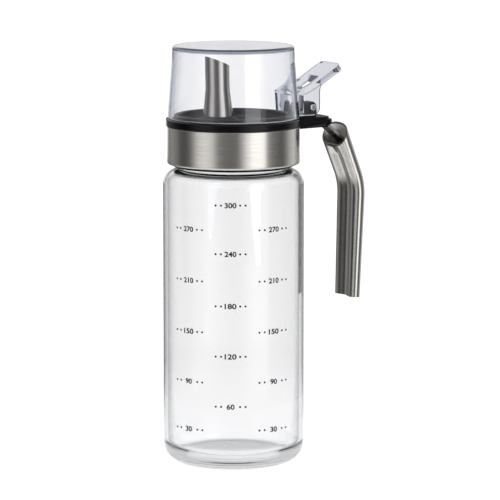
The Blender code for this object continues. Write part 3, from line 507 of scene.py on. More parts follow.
# Glass body, with the screw thread on its neck

glassLook = {
    **inMm(
        radius=31.2, height=131.2, wall=1.9, floor=4.5, baseCorner=8.0, shoulder=7.0, neck=22.5, neckTop=147.5,
        neckFillet=1.5, neckSlack=0.01, threadPitch=4.0, threadRise=0.9, threadWidth=1.3, threadLow=136.0,
    ),
    "threadTurns": 1.75, "threadFade": 8.0, "steps": 192, "neckRings": 56,
}


def threadRadius(radius, height, angle):
    look = glassLook
    if radius < look["neck"] - look["neckSlack"] or height < look["threadLow"] - 2 * look["threadWidth"]:
        return radius
    rise = 0.0
    for turn in range(math.ceil(look["threadTurns"]) + 1):
        along = turn + angle / (2.0 * math.pi)
        if along > look["threadTurns"]:
            continue
        fade = min(1.0, look["threadFade"] * along, look["threadFade"] * (look["threadTurns"] - along))
        middle = look["threadLow"] + along * look["threadPitch"]
        away = (height - middle) / (look["threadWidth"] / 2)
        rise = max(rise, fade * look["threadRise"] * max(0.0, 1.0 - away * away))
    return radius + rise


def makeGlass():
    look = glassLook
    wall, radius, floor, corner = look["wall"], look["radius"], look["floor"], look["baseCorner"]
    shoulderMiddle = (radius - look["shoulder"], look["height"] - look["shoulder"])
    neckBend = (look["neck"] + look["neckFillet"], look["height"] + look["neckFillet"])
    lip = wall / 2
    neckHigh = look["neckTop"] - lip
    profile = [(0.0, floor), (0.5 * (radius - corner), floor)]
    profile += arcPoints((radius - corner, floor + (corner - wall)), corner - wall, -90, 0, 14)
    profile += arcPoints(shoulderMiddle, look["shoulder"] - wall, 0, 90, 12)
    profile += arcPoints(neckBend, look["neckFillet"] + wall, 270, 180, 8)
    profile += arcPoints((look["neck"] - lip, neckHigh), lip, 180, 0, 10)
    for ring in range(1, look["neckRings"]):
        profile.append((look["neck"], neckHigh + (neckBend[1] - neckHigh) * ring / look["neckRings"]))
    profile += arcPoints(neckBend, look["neckFillet"], 180, 270, 8)
    profile += arcPoints(shoulderMiddle, look["shoulder"], 90, 0, 14)
    profile += arcPoints((radius - corner, corner), corner, 0, -90, 16)
    profile += [(0.5 * (radius - corner), 0.0), (0.0, 0.0)]
    shape = turnedShape(profile, look["steps"], radiusAt=threadRadius)
    settleShape("glassBody", shape, 60.0, clearGlass, "glass_bottle", "clear_glass", "bottle")


makeGlass()
print("glass made")


# Printed scale on the front of the glass

scaleLook = {
    **inMm(
        digitHeight=2.4, threeDigitWidth=5.25, middleDots=(4.2, 6.6), sideDots=(4.6, 7.1), dotRadius=0.46, ink=0.05,
        inkGap=0.01, seedSize=0.01,
    ),
    "middleTurn": -28.0 - 2.4, "sideTurn": 36.8, "strokeGain": 0.028, "curveSteps": 6, "curveWeld": 0.0001,
    "dotSides": 20,
    "middleMarks": {60: 29.2 * mm, 120: 51.5 * mm, 180: 73.8 * mm, 240: 96.8 * mm, 300: 118.2 * mm},
    "sideMarks": {30: 18.3 * mm, 90: 39.6 * mm, 150: 61.9 * mm, 210: 84.45 * mm, 270: 107.05 * mm},
}


def scaleRows():
    # (angle in degrees from -Y towards +X, height, value, dots) of each printed row
    look = scaleLook
    rows = [(look["middleTurn"], height, value, look["middleDots"]) for value, height in look["middleMarks"].items()]
    for value, height in look["sideMarks"].items():
        for side in (-1, 1):
            rows.append((look["middleTurn"] + side * look["sideTurn"], height, value, look["sideDots"]))
    return rows


def wrapOnGlass(mesh, turn, height):
    # lays a flat mesh (x across, y up, z out) on the glass
    radius = glassLook["radius"]
    for vert in mesh.vertices:
        angle = math.radians(turn) + vert.co.x / radius
        reach = radius + scaleLook["inkGap"] + vert.co.z
        vert.co = (reach * math.sin(angle), -reach * math.cos(angle), height + vert.co.y)


def digitShape(text):
    look = scaleLook
    curve = bpy.data.curves.new("digits", "FONT")
    curve.body = text
    curve.align_x = curve.align_y = "CENTER"
    curve.size = 1.0
    curve.resolution_u = look["curveSteps"]
    curve.offset = look["strokeGain"]
    shape = shapeOf(plainMesh(placed("digits", curve), "digits"))
    bmesh.ops.remove_doubles(shape, verts=shape.verts, dist=look["curveWeld"])
    (left, right), (low, high) = [
        (min(vert.co[axis] for vert in shape.verts), max(vert.co[axis] for vert in shape.verts)) for axis in (0, 1)
    ]
    tall = look["digitHeight"] / (high - low)
    wide = look["threeDigitWidth"] * len(text) / 3 / (right - left)
    for vert in shape.verts:
        vert.co = ((vert.co.x - (left + right) / 2) * wide, (vert.co.y - (low + high) / 2) * tall, 0.0)
    pulled = bmesh.ops.extrude_face_region(shape, geom=list(shape.faces))
    raised = [item for item in pulled["geom"] if isinstance(item, bmesh.types.BMVert)]
    bmesh.ops.translate(shape, vec=(0.0, 0.0, look["ink"]), verts=raised)
    bmesh.ops.recalc_face_normals(shape, faces=shape.faces)
    return shape


def printMarks(piece):
    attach(piece, "bottle")


def makeDigits():
    rows = bmesh.new()
    for turn, height, value, _ in scaleRows():
        mesh = meshOf("row", digitShape(str(value)))
        wrapOnGlass(mesh, turn, height)
        rows.from_mesh(mesh)
        bpy.data.meshes.remove(mesh)
    printMarks(newPiece("scaleDigits", meshOf("scaleDigits", rows), blackInk))


def dotTree():
    # one dot on every face of the input mesh, turned to the way that face looks
    tree = bpy.data.node_groups.new("scaleDots", "GeometryNodeTree")
    inputs = {"Geometry": "Geometry", "Dot Radius": "Float", "Dot Sides": "Int", "Ink": "Float", "Material": "Material"}
    for name, kind in inputs.items():
        tree.interface.new_socket(name, in_out="INPUT", socket_type="NodeSocket" + kind)
    tree.interface.new_socket("Geometry", in_out="OUTPUT", socket_type="NodeSocketGeometry")
    entry = tree.nodes.new("NodeGroupInput").outputs
    keep = addNode(tree, "GeometryNodeCaptureAttribute", domain="FACE")
    keep.capture_items.new("VECTOR", "facing")
    wire(keep, {"Geometry": entry["Geometry"], 1: tree.nodes.new("GeometryNodeInputNormal").outputs[0]})
    points = addNode(tree, "GeometryNodeMeshToPoints", {"Mesh": keep.outputs["Geometry"]}, mode="FACES")
    turn = addNode(tree, "FunctionNodeAlignRotationToVector", {"Vector": keep.outputs[1]}, axis="Z")
    dot = addNode(tree, "GeometryNodeMeshCylinder", {
        "Vertices": entry["Dot Sides"], "Radius": entry["Dot Radius"], "Depth": entry["Ink"],
    })
    dots = addNode(tree, "GeometryNodeInstanceOnPoints", {
        "Points": points.outputs["Points"], "Instance": dot.outputs["Mesh"], "Rotation": turn.outputs["Rotation"],
    })
    real = addNode(tree, "GeometryNodeRealizeInstances", {"Geometry": dots.outputs["Instances"]})
    painted = addNode(tree, "GeometryNodeSetMaterial", {
        "Geometry": real.outputs["Geometry"], "Material": entry["Material"],
    })
    wire(tree.nodes.new("NodeGroupOutput"), {"Geometry": painted.outputs["Geometry"]})
    return tree


def setInputs(modifier, values):
    for item in modifier.node_group.interface.items_tree:
        if item.in_out == "INPUT" and item.name in values:
            modifier[item.identifier] = values[item.name]


def makeDots():
    # a tiny face on the glass for every dot carries its place and the way it looks
    look = scaleLook
    radius = glassLook["radius"]
    tiny = look["seedSize"]
    seeds = bmesh.new()
    for turn, height, _, places in scaleRows():
        for away in places:
            for side in (-1, 1):
                angle = math.radians(turn) + side * away / radius
                outward = Vector((math.sin(angle), -math.cos(angle), 0.0))
                across = Vector((math.cos(angle), math.sin(angle), 0.0))
                middle = outward * (radius + look["ink"] / 2) + Vector((0.0, 0.0, height))
                seeds.faces.new([
                    seeds.verts.new(middle + across * a * tiny + Vector((0.0, 0.0, b * tiny)))
                    for a, b in ((-1, -1), (1, -1), (0, 1))
                ])
    holder = placed("dotSeeds", meshOf("dotSeeds", seeds))
    dots = holder.modifiers.new("dots", "NODES")
    dots.node_group = dotTree()
    setInputs(dots, {
        "Dot Radius": look["dotRadius"], "Dot Sides": look["dotSides"], "Ink": look["ink"], "Material": blackInk,
    })
    printMarks(placed("scaleDots", plainMesh(holder, "scaleDots")))


makeDigits()
makeDots()
print("scale printed")


# Steel band round the cap, rolled in at its lower edge

bandLook = {
    **inMm(radius=29.45, sheet=0.55, low=133.1, high=149.8, roll=1.3, lip=0.9, edge=0.2),
    "steps": 192,
}


def makeBand():
    look = bandLook
    radius, sheet, low, high, roll = look["radius"], look["sheet"], look["low"], look["high"], look["roll"]
    middle = (radius - roll, low + roll)
    lipEdge = middle[0] - look["lip"]
    profile = cornerArc(radius, high, look["edge"], 90, 0, 3)
    profile += arcPoints(middle, roll, 0, -90, 10)
    profile += [(lipEdge, low), (lipEdge, low + sheet)]
    profile += arcPoints(middle, roll - sheet, -90, 0, 8)
    profile += [(radius - sheet, high)]
    shape = turnedShape(profile, look["steps"], closed=True)
    settleShape("collarBand", shape, 50.0, bandSteel, "collar_band", "brushed_steel", "cap")


makeBand()
print("band made")


# Black outer ring with its skirt, the bracket arm and the two hinge knuckles

ringLook = {
    **inMm(
        bore=26.7, radius=30.0, top=153.3, bottom=150.1, round=0.6, lowerRound=0.3, skirt=28.6, skirtBottom=133.95,
    ),
    "steps": 192,
}
bracketLook = inMm(
    halfWidth=7.5, reach=47.5, corner=4.0, root=28.35, top=152.4, step=151.2, bottom=147.5, topInset=0.5,
    topSetback=1.5, overlap=0.3, chamfer=2.0, edge=0.35, bandRoom=29.75, bandRoomLow=130.0, recessHalf=4.3,
    recessBack=36.8, rootClear=1.0, recessTop=149.2, recessPast=2.0, screwReach=40.0, screwRoom=1.8, screwTop=151.7,
)
knuckleLook = inMm(
    reach=35.3, height=157.1, radius=2.5, outerFace=7.4, innerFace=2.4, back=31.3, overlap=0.2, pinHole=1.45,
    pinHoleHalf=12.0, edge=0.3,
)


def bracketPlate(inset, setback, low, high):
    look = bracketLook
    half, end, corner = look["halfWidth"] - inset, look["reach"] - setback, look["corner"] - inset
    outline = [(look["root"] + inset, -half)]
    outline += cornerArc(end, -half, corner, -90, 0, 16)
    outline += cornerArc(end, half, corner, 0, 90, 16)
    outline += [(look["root"] + inset, half)]
    return flatPlate(outline, low, high)


def bracketLower():
    look = bracketLook
    shape = bracketPlate(0.0, 0.0, look["bottom"], look["step"])
    start = look["reach"] - look["corner"] - nearEdge
    middle = (look["bottom"] + look["step"]) / 2
    bevelEdges(shape, sharpWhere(lambda place: place.z < middle and place.x > start), look["chamfer"], 1, clamp=False)
    return bevelEdges(shape, sharpWhere(lambda place: place.x > look["root"] + look["rootClear"], 0.5), look["edge"], 3)


def bracketUpper():
    look = bracketLook
    shape = bracketPlate(look["topInset"], look["topSetback"], look["step"] - look["overlap"], look["top"])
    return bevelEdges(shape, sharpWhere(lambda place: place.z > look["top"] - nearEdge), look["edge"], 3)


def knuckle(side):
    look = knuckleLook
    step = bracketLook["step"] - look["overlap"]
    outline = [(look["reach"] + look["radius"], step)]
    outline += arcPoints((look["reach"], look["height"]), look["radius"], 0, 165, 28)
    outline += [(look["back"], step)]
    shape = plateShape(outline, *sorted((side * look["innerFace"], side * look["outerFace"])))
    return bevelEdges(shape, sharpWhere(lambda place: place.z > step + nearEdge), look["edge"], 2)


def pinHole():
    look = knuckleLook
    outline = roundOutline((look["reach"], look["height"]), look["pinHole"], 32)
    return plateShape(outline, -look["pinHoleHalf"], look["pinHoleHalf"])


def makeRing():
    look, arm = ringLook, bracketLook
    profile = [(look["bore"], look["top"])]
    profile += cornerArc(look["radius"], look["top"], look["round"], 90, 0, 8)
    profile += cornerArc(look["radius"], look["bottom"], look["lowerRound"], 0, -90, 5)
    profile += [
        (look["skirt"], look["bottom"]), (look["skirt"], look["skirtBottom"]), (look["bore"], look["skirtBottom"]),
    ]
    body = turnedShape(profile, look["steps"], closed=True)
    room = roundOutline((0.0, 0.0), arm["bandRoom"], 192)
    room = flatPlate(room, arm["bandRoomLow"], look["bottom"])
    lower = shapeOf(meshFrom("bracket", combined(bracketLower(), [], [room]), 30.0))
    recess = boxOutline(arm["recessBack"], arm["reach"] + arm["recessPast"], -arm["recessHalf"], arm["recessHalf"])
    recess = flatPlate(recess, arm["bottom"] - arm["recessPast"], arm["recessTop"])
    screwRoom = roundOutline((arm["screwReach"], 0.0), arm["screwRoom"], 32)
    screwRoom = flatPlate(screwRoom, arm["bottom"], arm["screwTop"])
    shape = combined(body, [lower, bracketUpper(), knuckle(-1), knuckle(1)], [pinHole(), recess, screwRoom])
    settleShape("capRing", shape, 30.0, blackPlastic, "cap_ring", "black_plastic", "cap")


makeRing()
print("ring made")


# Inner cap: sunk pouring deck, raised collar round the spout and vent boss

deckLook = {
    **inMm(
        radius=26.4, bore=23.9, bottom=132.1, underside=149.6, floor=152.6, rimInner=24.1, rimTop=155.1, round=0.6,
        fillet=0.5, spoutAxis=-7.6, spoutHole=5.6, collar=7.3, collarTop=154.2, collarRound=0.4, vent=5.0,
        ventLength=6.2, ventWidth=4.0, ventTop=154.1, ventRound=0.3, ventHole=1.1, holePast=2.0,
    ),
    "steps": 160, "collarSteps": 72,
}


def makeDeck():
    look = deckLook
    edge = look["round"]
    profile = [(0.0, look["floor"])]
    profile += cornerArc(look["rimInner"], look["floor"], look["fillet"], -90, 0, 5)
    profile += cornerArc(look["rimInner"], look["rimTop"], edge, 180, 90, 7)
    profile += cornerArc(look["radius"], look["rimTop"], edge, 90, 0, 7)
    profile += [
        (look["radius"], look["bottom"]), (look["bore"], look["bottom"]),
        (look["bore"], look["underside"]), (0.0, look["underside"]),
    ]
    body = turnedShape(profile, look["steps"])
    middle = (look["floor"] + look["underside"]) / 2
    profile = [(0.0, look["collarTop"])]
    profile += cornerArc(look["collar"], look["collarTop"], look["collarRound"], 90, 0, 5)
    profile += [(look["collar"], middle), (0.0, middle)]
    collar = turnedShape(profile, look["collarSteps"], middle=(look["spoutAxis"], 0.0))
    half = look["ventWidth"] / 2
    straight = look["ventLength"] / 2 - half
    outline = arcPoints((look["vent"], straight), half, 0, 180, 20)
    outline += arcPoints((look["vent"], -straight), half, 180, 360, 20)
    boss = flatPlate(outline, middle, look["ventTop"])
    bevelEdges(boss, sharpWhere(lambda place: place.z > look["ventTop"] - nearEdge), look["ventRound"], 3)
    low, high = look["underside"] - look["holePast"], look["rimTop"] + look["holePast"]
    holes = [
        flatPlate(roundOutline((look[place], 0.0), look[radius], 48), low, high)
        for place, radius in (("spoutAxis", "spoutHole"), ("vent", "ventHole"))
    ]
    shape = combined(body, [collar, boss], holes)
    settleShape("innerCap", shape, 30.0, blackPlastic, "inner_cap", "black_plastic", "cap")


makeDeck()
print("deck made")


# Pouring spout with its flared foot and slanting mouth

spoutLook = {
    **inMm(
        radius=5.36, footRadius=6.65, footEdge=0.2, shankRadius=5.3, sheet=0.6, foot=154.5, flareTop=166.6,
        mouth=178.75, spare=6.0, shankBottom=145.8, knife=(50.0, 50.0, 30.0),
    ),
    "lean": 1.2, "cutAngle": 23.0, "steps": 96,
}


def makeSpout():
    look = spoutLook
    axis, sheet, foot, edge = deckLook["spoutAxis"], look["sheet"], look["foot"], look["footEdge"]
    radius, footRadius, shank = look["radius"], look["footRadius"], look["shankRadius"]
    top = look["mouth"] + look["spare"]
    profile = [
        (radius, top), (radius, look["flareTop"]), (footRadius, foot + edge), (footRadius - edge, foot),
        (shank, foot), (shank, look["shankBottom"]), (shank - sheet, look["shankBottom"]),
        (shank - sheet, foot + sheet), (footRadius - sheet, foot + sheet),
        (radius - sheet, look["flareTop"]), (radius - sheet, top),
    ]
    tube = turnedShape(profile, look["steps"], closed=True)
    lean = math.tan(math.radians(look["lean"]))
    for vert in tube.verts:
        vert.co.x += axis - max(0.0, vert.co.z - foot) * lean
    # the knife is a large block that stands on the slanting plane of the mouth
    knife = bmesh.new()
    bmesh.ops.create_cube(knife, size=1.0)
    bmesh.ops.transform(knife, matrix=Matrix.Diagonal((*look["knife"], 1.0)), verts=knife.verts)
    bmesh.ops.translate(knife, vec=(0.0, 0.0, look["knife"][2] / 2), verts=knife.verts)
    place = Vector((axis - (look["mouth"] - foot) * lean, 0.0, look["mouth"]))
    turn = Matrix.Translation(place) @ Matrix.Rotation(math.radians(look["cutAngle"]), 4, "Y")
    bmesh.ops.transform(knife, matrix=turn, verts=knife.verts)
    shape = combined(tube, [], [knife])
    settleShape("pouringSpout", shape, 40.0, spoutSteel, "spout_tube", "brushed_steel", "cap")


makeSpout()
print("spout made")


# Clear flip cover with its hinge plate, ears, thumb lever and window

coverLook = {
    **inMm(
        bottom=153.6, top=185.52, rimRadius=29.15, topRadius=26.9, wall=1.7, fillet=1.5, innerFillet=0.6, footRound=0.3,
        plateBack=25.2, plateFront=31.0, plateHalf=8.9, halfWidth=9.0, earInner=1.3, earOuter=0.05, earRadius=3.6,
        earEdge=0.25, rimBelow=1.5,
        bendReach=36.2, bendHeight=166.1, bendSpan=3.5, tipReach=50.2, leverThickness=2.8, leverCorner=3.0,
        earFillet=4.5, windowBack=32.3, windowFront=40.5, windowHalf=4.9, windowCut=2.4, hollowPast=2.0, edge=0.35,
    ),
    "rootAngle": 23.0, "tipAngle": 32.0, "draft": 4, "steps": 192,
}


def leverMiddle(reach):
    look = coverLook
    beyond = reach - look["bendReach"]
    angle = look["tipAngle"] if beyond > 0 else look["rootAngle"]
    return look["bendHeight"] + beyond * math.tan(math.radians(angle))


def thumbLever():
    look = coverLook
    half = look["leverThickness"] / 2
    turns = [math.radians(look[angle]) for angle in ("rootAngle", "tipAngle")]
    rootWay, tipWay = [Vector((math.cos(turn), math.sin(turn))) for turn in turns]
    bend = Vector((look["bendReach"], look["bendHeight"]))
    middle = [(Vector((look["plateBack"], leverMiddle(look["plateBack"]))), rootWay)]
    for index in range(15):
        share = index / 14
        low = (bend - rootWay * look["bendSpan"]).lerp(bend, share)
        high = bend.lerp(bend + tipWay * look["bendSpan"], share)
        middle.append((low.lerp(high, share), rootWay.lerp(tipWay, share).normalized()))
    middle.append((Vector((look["tipReach"], leverMiddle(look["tipReach"]))), tipWay))
    upper = [(point.x - way.y * half, point.y + way.x * half) for point, way in middle]
    lower = [(point.x + way.y * half, point.y - way.x * half) for point, way in middle]
    shape = plateShape(lower + upper[::-1], -look["halfWidth"], look["halfWidth"])
    tip = look["tipReach"] - look["leverThickness"]

    def corner(edge):
        start, end = (vert.co for vert in edge.verts)
        upright = abs(start.y - end.y) < 0.01 * mm and (start - end).length < look["leverThickness"] * 1.01
        return upright and start.x > tip and end.x > tip

    bevelEdges(shape, corner, look["leverCorner"], 12)
    return bevelEdges(shape, sharpWhere(lambda place: place.x > look["plateFront"]), look["edge"], 3)


def hingeEar(side):
    look, pin = coverLook, knuckleLook
    front = pin["reach"] + look["earRadius"]
    filletEnd = front + look["earFillet"] * math.cos(math.radians(look["tipAngle"]))
    start = Vector((front, leverMiddle(front) - look["earFillet"]))
    corner = Vector((front, leverMiddle(front)))
    end = Vector((filletEnd, leverMiddle(filletEnd)))
    outline = [(look["plateBack"], pin["height"] - look["earRadius"])]
    outline += arcPoints((pin["reach"], pin["height"]), look["earRadius"], -90, 0, 16)
    for index in range(13):
        share = index / 12
        outline.append(tuple(start.lerp(corner, share).lerp(corner.lerp(end, share), share)))
    outline += [(look["bendReach"], look["bendHeight"]), (look["plateBack"], leverMiddle(look["plateBack"]))]
    inner, outer = look["halfWidth"] - look["earInner"], look["halfWidth"] - look["earOuter"]
    shape = plateShape(outline, *sorted((side * inner, side * outer)))
    below = leverMiddle(front) - look["rimBelow"]
    rim = sharpWhere(lambda place: place.x > look["plateFront"] and place.z < below)
    return bevelEdges(shape, rim, look["earEdge"], 2)


def makeCover():
    look = coverLook
    fillet, wall, innerFillet, footRound = (look[key] for key in ("fillet", "wall", "innerFillet", "footRound"))
    draft, low, past = look["draft"], look["bottom"], look["bottom"] - look["hollowPast"]
    outer = [(0.0, look["top"])]
    outer += arcPoints((look["topRadius"] - fillet, look["top"] - fillet), fillet, 90, draft, 14)
    outer += arcPoints((look["rimRadius"] - footRound, low + footRound), footRound, draft, -90, 4)
    outer += [(0.0, low)]
    ceiling, innerTop = look["top"] - wall, look["topRadius"] - wall
    inner = [(0.0, ceiling)]
    inner += arcPoints((innerTop - innerFillet, ceiling - innerFillet), innerFillet, 90, draft, 8)
    inner += [(look["rimRadius"] - wall, past), (0.0, past)]
    body = turnedShape(outer, look["steps"])
    hollow = turnedShape(inner, look["steps"])
    back, front = look["plateBack"], look["plateFront"]
    plate = plateShape(boxOutline(back, front, low, leverMiddle(front)), -look["plateHalf"], look["plateHalf"])
    back, front, cut = look["windowBack"], look["windowFront"], look["windowCut"]
    window = boxOutline(back, front, leverMiddle(back) - cut, leverMiddle(front) + cut)
    window = plateShape(window, -look["windowHalf"], look["windowHalf"])
    shape = combined(body, [plate, thumbLever(), hingeEar(-1), hingeEar(1)], [hollow, window, pinHole()])
    settleShape("flipCover", shape, 25.0, clearPlastic, "dust_cover", "clear_plastic", "cover")


makeCover()
print("cover made")


# Hinge pin with rounded ends

pinLook = {**inMm(radius=1.25, half=9.0, round=0.35), "steps": 40}


def makePin():
    look = pinLook
    profile = [(0.0, look["half"])] + cornerArc(look["radius"], look["half"], look["round"], 90, 0, 5)
    profile += [(radius, -height) for radius, height in reversed(profile)]
    shape = turnedShape(profile, look["steps"])
    place = Matrix.Translation((knuckleLook["reach"], 0.0, knuckleLook["height"]))
    bmesh.ops.transform(shape, matrix=place @ Matrix.Rotation(math.radians(90), 4, "X"), verts=shape.verts)
    settleShape("hingePin", shape, 40.0, spoutSteel, "hinge_pin", "brushed_steel", "cap")


makePin()
print("pin made")


# Handle pressed from steel tube, cut at a slant at its top, grooved along its inner face

handleLook = {
    **inMm(
        bend=(60.2, 121.3), upperLength=23.9, lowerLength=51.5, bendRadius=28.0, topWidth=20.8, topDepth=8.0,
        endWidth=17.8, endDepth=6.8, sheet=0.6, grooveDepth=2.6, grooveWidth=4.2, grooveRun=5.0, mouthClear=0.3,
    ),
    "upperTilt": 21.3, "lowerTilt": 2.1, "cutAngle": 47.0, "grooveMouthShares": (0.2, 0.45), "ovalPower": 2.35,
    "points": 108, "grooveStations": 5, "bendStations": 24, "straightStations": 12,
}


def handleSection(width, depth, groove):
    look = handleLook
    power = 2.0 / look["ovalPower"]
    loop = []
    for index in range(look["points"]):
        angle = 2.0 * math.pi * (index + 0.5) / look["points"]
        cosine, sine = math.cos(angle), math.sin(angle)
        across = width / 2 * math.copysign(abs(cosine) ** power, cosine)
        outward = depth / 2 * math.copysign(abs(sine) ** power, sine)
        if sine < 0:
            outward += groove * math.exp(-((across / look["grooveWidth"]) ** 2))
        loop.append(Vector((across, outward)))
    return loop


def insetLoop(loop, distance):
    inset = []
    for index, point in enumerate(loop):
        along = (loop[(index + 1) % len(loop)] - loop[index - 1]).normalized()
        inset.append(Vector((point.x - along.y * distance, point.y + along.x * distance)))
    return inset


def handleStations():
    # centre, upward direction, slant of the cut, groove and share of the length, top to bottom
    look = handleLook
    bend = Vector(look["bend"])
    upperTilt, lowerTilt = math.radians(look["upperTilt"]), math.radians(look["lowerTilt"])
    turn = upperTilt + lowerTilt
    tangent = look["bendRadius"] * math.tan(turn / 2)
    upDir = Vector((-math.sin(upperTilt), math.cos(upperTilt)))
    lowDir = Vector((math.sin(lowerTilt), math.cos(lowerTilt)))
    mouth = bend + upDir * look["upperLength"]
    slope = math.tan(math.radians(look["cutAngle"]))
    clear = look["topDepth"] / 2 * slope + look["mouthClear"]
    deep = look["grooveDepth"]
    atMouth, atClear = (share * deep for share in look["grooveMouthShares"])
    stations = [(mouth, upDir, slope, atMouth)]
    for index in range(look["grooveStations"] + 1):
        share = index / look["grooveStations"]
        down = clear + look["grooveRun"] * share
        stations.append((mouth - upDir * down, upDir, 0.0, atClear + (deep - atClear) * share))
    centre = bend + upDir * tangent - Vector((upDir.y, -upDir.x)) * look["bendRadius"]
    for index in range(look["bendStations"] + 1):
        tilt = upperTilt - turn * index / look["bendStations"]
        direction = Vector((-math.sin(tilt), math.cos(tilt)))
        outward = Vector((direction.y, -direction.x))
        stations.append((centre + outward * look["bendRadius"], direction, 0.0, deep))
    bendEnd = bend - lowDir * tangent
    end = bend - lowDir * look["lowerLength"]
    for index in range(1, look["straightStations"] + 1):
        stations.append((bendEnd.lerp(end, index / look["straightStations"]), lowDir, 0.0, deep))
    lengths = [0.0]
    for here, there in zip(stations, stations[1:]):
        lengths.append(lengths[-1] + (there[0] - here[0]).length)
    return [(*station, length / lengths[-1]) for station, length in zip(stations, lengths)]


def makeHandle():
    look = handleLook
    shape = bmesh.new()
    sheet = look["sheet"]
    stations = handleStations()
    top, end = stations[0], stations[-1]
    lip = sheet * 0.3
    # each ring's station, depth under the surface and shift along the handle: outside, lower lip, inside, upper lip
    rings = [(top, 0.0, -lip)] + [(station, 0.0, 0.0) for station in stations[1:-1]] + [(end, 0.0, lip)]
    rings += [(end, lip * 0.3, lip * 0.3), (end, lip, 0.0), (end, sheet - lip, 0.0), (end, sheet, lip)]
    rings += [(station, sheet, 0.0) for station in reversed(stations[1:-1])]
    rings += [(top, sheet, -lip), (top, sheet - lip, 0.0), (top, lip, 0.0), (top, lip * 0.3, -lip * 0.3)]
    loops = []
    for (centre, direction, slope, groove, share), distance, lift in rings:
        outward = Vector((direction.y, -direction.x))
        width = look["topWidth"] + (look["endWidth"] - look["topWidth"]) * share
        depth = look["topDepth"] + (look["endDepth"] - look["topDepth"]) * share
        section = handleSection(width, depth, groove)
        loop = []
        for point in insetLoop(section, distance) if distance else section:
            place = centre + outward * point.y + direction * (point.y * slope + lift)
            loop.append(shape.verts.new((place.x, point.x, place.y)))
        loops.append(loop)
    innerStart, innerEnd = len(stations) + 3, len(loops) - 4
    for place, (upper, lower) in enumerate(zip(loops, loops[1:] + loops[:1])):
        # 0 brushed outside, 1 duller inside painted lighter, 2 cut edges painted dark as shade
        finish = 0 if place < len(stations) else 1 if innerStart <= place < innerEnd else 2
        for index in range(look["points"]):
            following = (index + 1) % look["points"]
            face = shape.faces.new((upper[index], upper[following], lower[following], lower[index]))
            face.material_index = finish
    mesh = meshFrom("handleGrip", shape, 55.0)
    finishes = [face.material_index for face in mesh.polygons]
    grip = settle("handleGrip", mesh, handleSteel, "handle_grip", "brushed_steel", "cap")
    grip.data.materials.append(innerPaintedLightSteel)
    grip.data.materials.append(cutPaintedShadeSteel)
    grip.data.polygons.foreach_set("material_index", finishes)


makeHandle()
print("handle made")


# Strip that holds the handle under the bracket, and its countersunk screw

fixingLook = {
    **inMm(
        half=4.0, thickness=1.3, root=37.1, height=148.25, bendAt=45.9, clearance=0.5, entry=4.5, end=13.0,
        bends=(0.0, 1.6, 3.0, 0.0), headRadius=2.6, screwRadius=1.5, headHeight=1.1, screwBottom=147.6, screwTop=151.4,
        tipChamfer=0.3, headEdge=0.1, gap=0.3, driveWidth=0.55, driveDepth=0.6, driveLength=2.6,
        drivePast=1.0,
    ),
    "steps": 40,
}


def makeTongue():
    look = fixingLook
    mouth, direction = handleStations()[0][:2]
    half = look["thickness"] / 2
    lie = handleLook["topDepth"] / 2 - handleLook["sheet"] - look["clearance"] - half
    line = mouth + Vector((direction.y, -direction.x)) * lie
    corners = [
        Vector((look["root"], look["height"])), Vector((look["bendAt"], look["height"])),
        line - direction * look["entry"], line - direction * look["end"],
    ]
    path = [Vector(point) for point in roundedPath(corners, look["bends"], 8, closed=False)]
    outer, inner = [], []
    for before, point, after in zip(path[:1] + path, path, path[1:] + path[-1:]):
        along = (after - before).normalized()
        outer.append((point.x + along.y * half, point.y - along.x * half))
        inner.append((point.x - along.y * half, point.y + along.x * half))
    strip = plateShape(outer + inner[::-1], -look["half"], look["half"])
    flare = (look["headRadius"] - look["screwRadius"]) / look["headHeight"] * look["gap"]
    low, high = look["height"] - half - look["gap"], look["height"] + half + look["gap"]
    wide, narrow = look["headRadius"] + look["gap"] + flare, look["screwRadius"] + look["gap"] - flare
    countersink = [(0.0, high), (narrow, high), (wide, low), (0.0, low)]
    countersink = turnedShape(countersink, look["steps"], middle=(bracketLook["screwReach"], 0.0))
    shape = combined(strip, [], [countersink])
    settleShape("handleTongue", shape, 30.0, handleSteel, "handle_tongue", "brushed_steel", "cap")


def makeScrew():
    look = fixingLook
    low, high, edge, chamfer = look["screwBottom"], look["screwTop"], look["headEdge"], look["tipChamfer"]
    head, radius = look["headRadius"], look["screwRadius"]
    profile = [
        (0.0, high), (radius - chamfer, high), (radius, high - chamfer), (radius, low + look["headHeight"]),
        (head, low + edge), (head - edge, low), (0.0, low),
    ]
    middle = bracketLook["screwReach"]
    screw = turnedShape(profile, look["steps"], middle=(middle, 0.0))
    bars = []
    long, wide = look["driveLength"] / 2, look["driveWidth"] / 2
    for halfX, halfY in ((long, wide), (wide, long)):
        outline = boxOutline(middle - halfX, middle + halfX, -halfY, halfY)
        bars.append(flatPlate(outline, low - look["drivePast"], low + look["driveDepth"]))
    shape = combined(screw, [], bars)
    settleShape("handleScrew", shape, 30.0, handleSteel, "handle_screw", "brushed_steel", "cap")


makeTongue()
makeScrew()
print("handle fixing made")


# Soft rings, retainer and vent valve inside the cap

sealLook = {
    **inMm(
        gasket=(20.8, 23.6, 147.8, 149.3), spoutSeal=(5.6, 8.0, 148.0, 149.3), retainer=(5.6, 8.5, 146.3, 147.7),
        round=0.25, valveRadius=3.0, valveStem=0.605, valveTop=149.3, valveThickness=0.9, valveEdge=0.1,
        valveCurve=0.25, stemTop=152.6, stemChamfer=0.3,
    ),
    "valveSteps": 40,
}


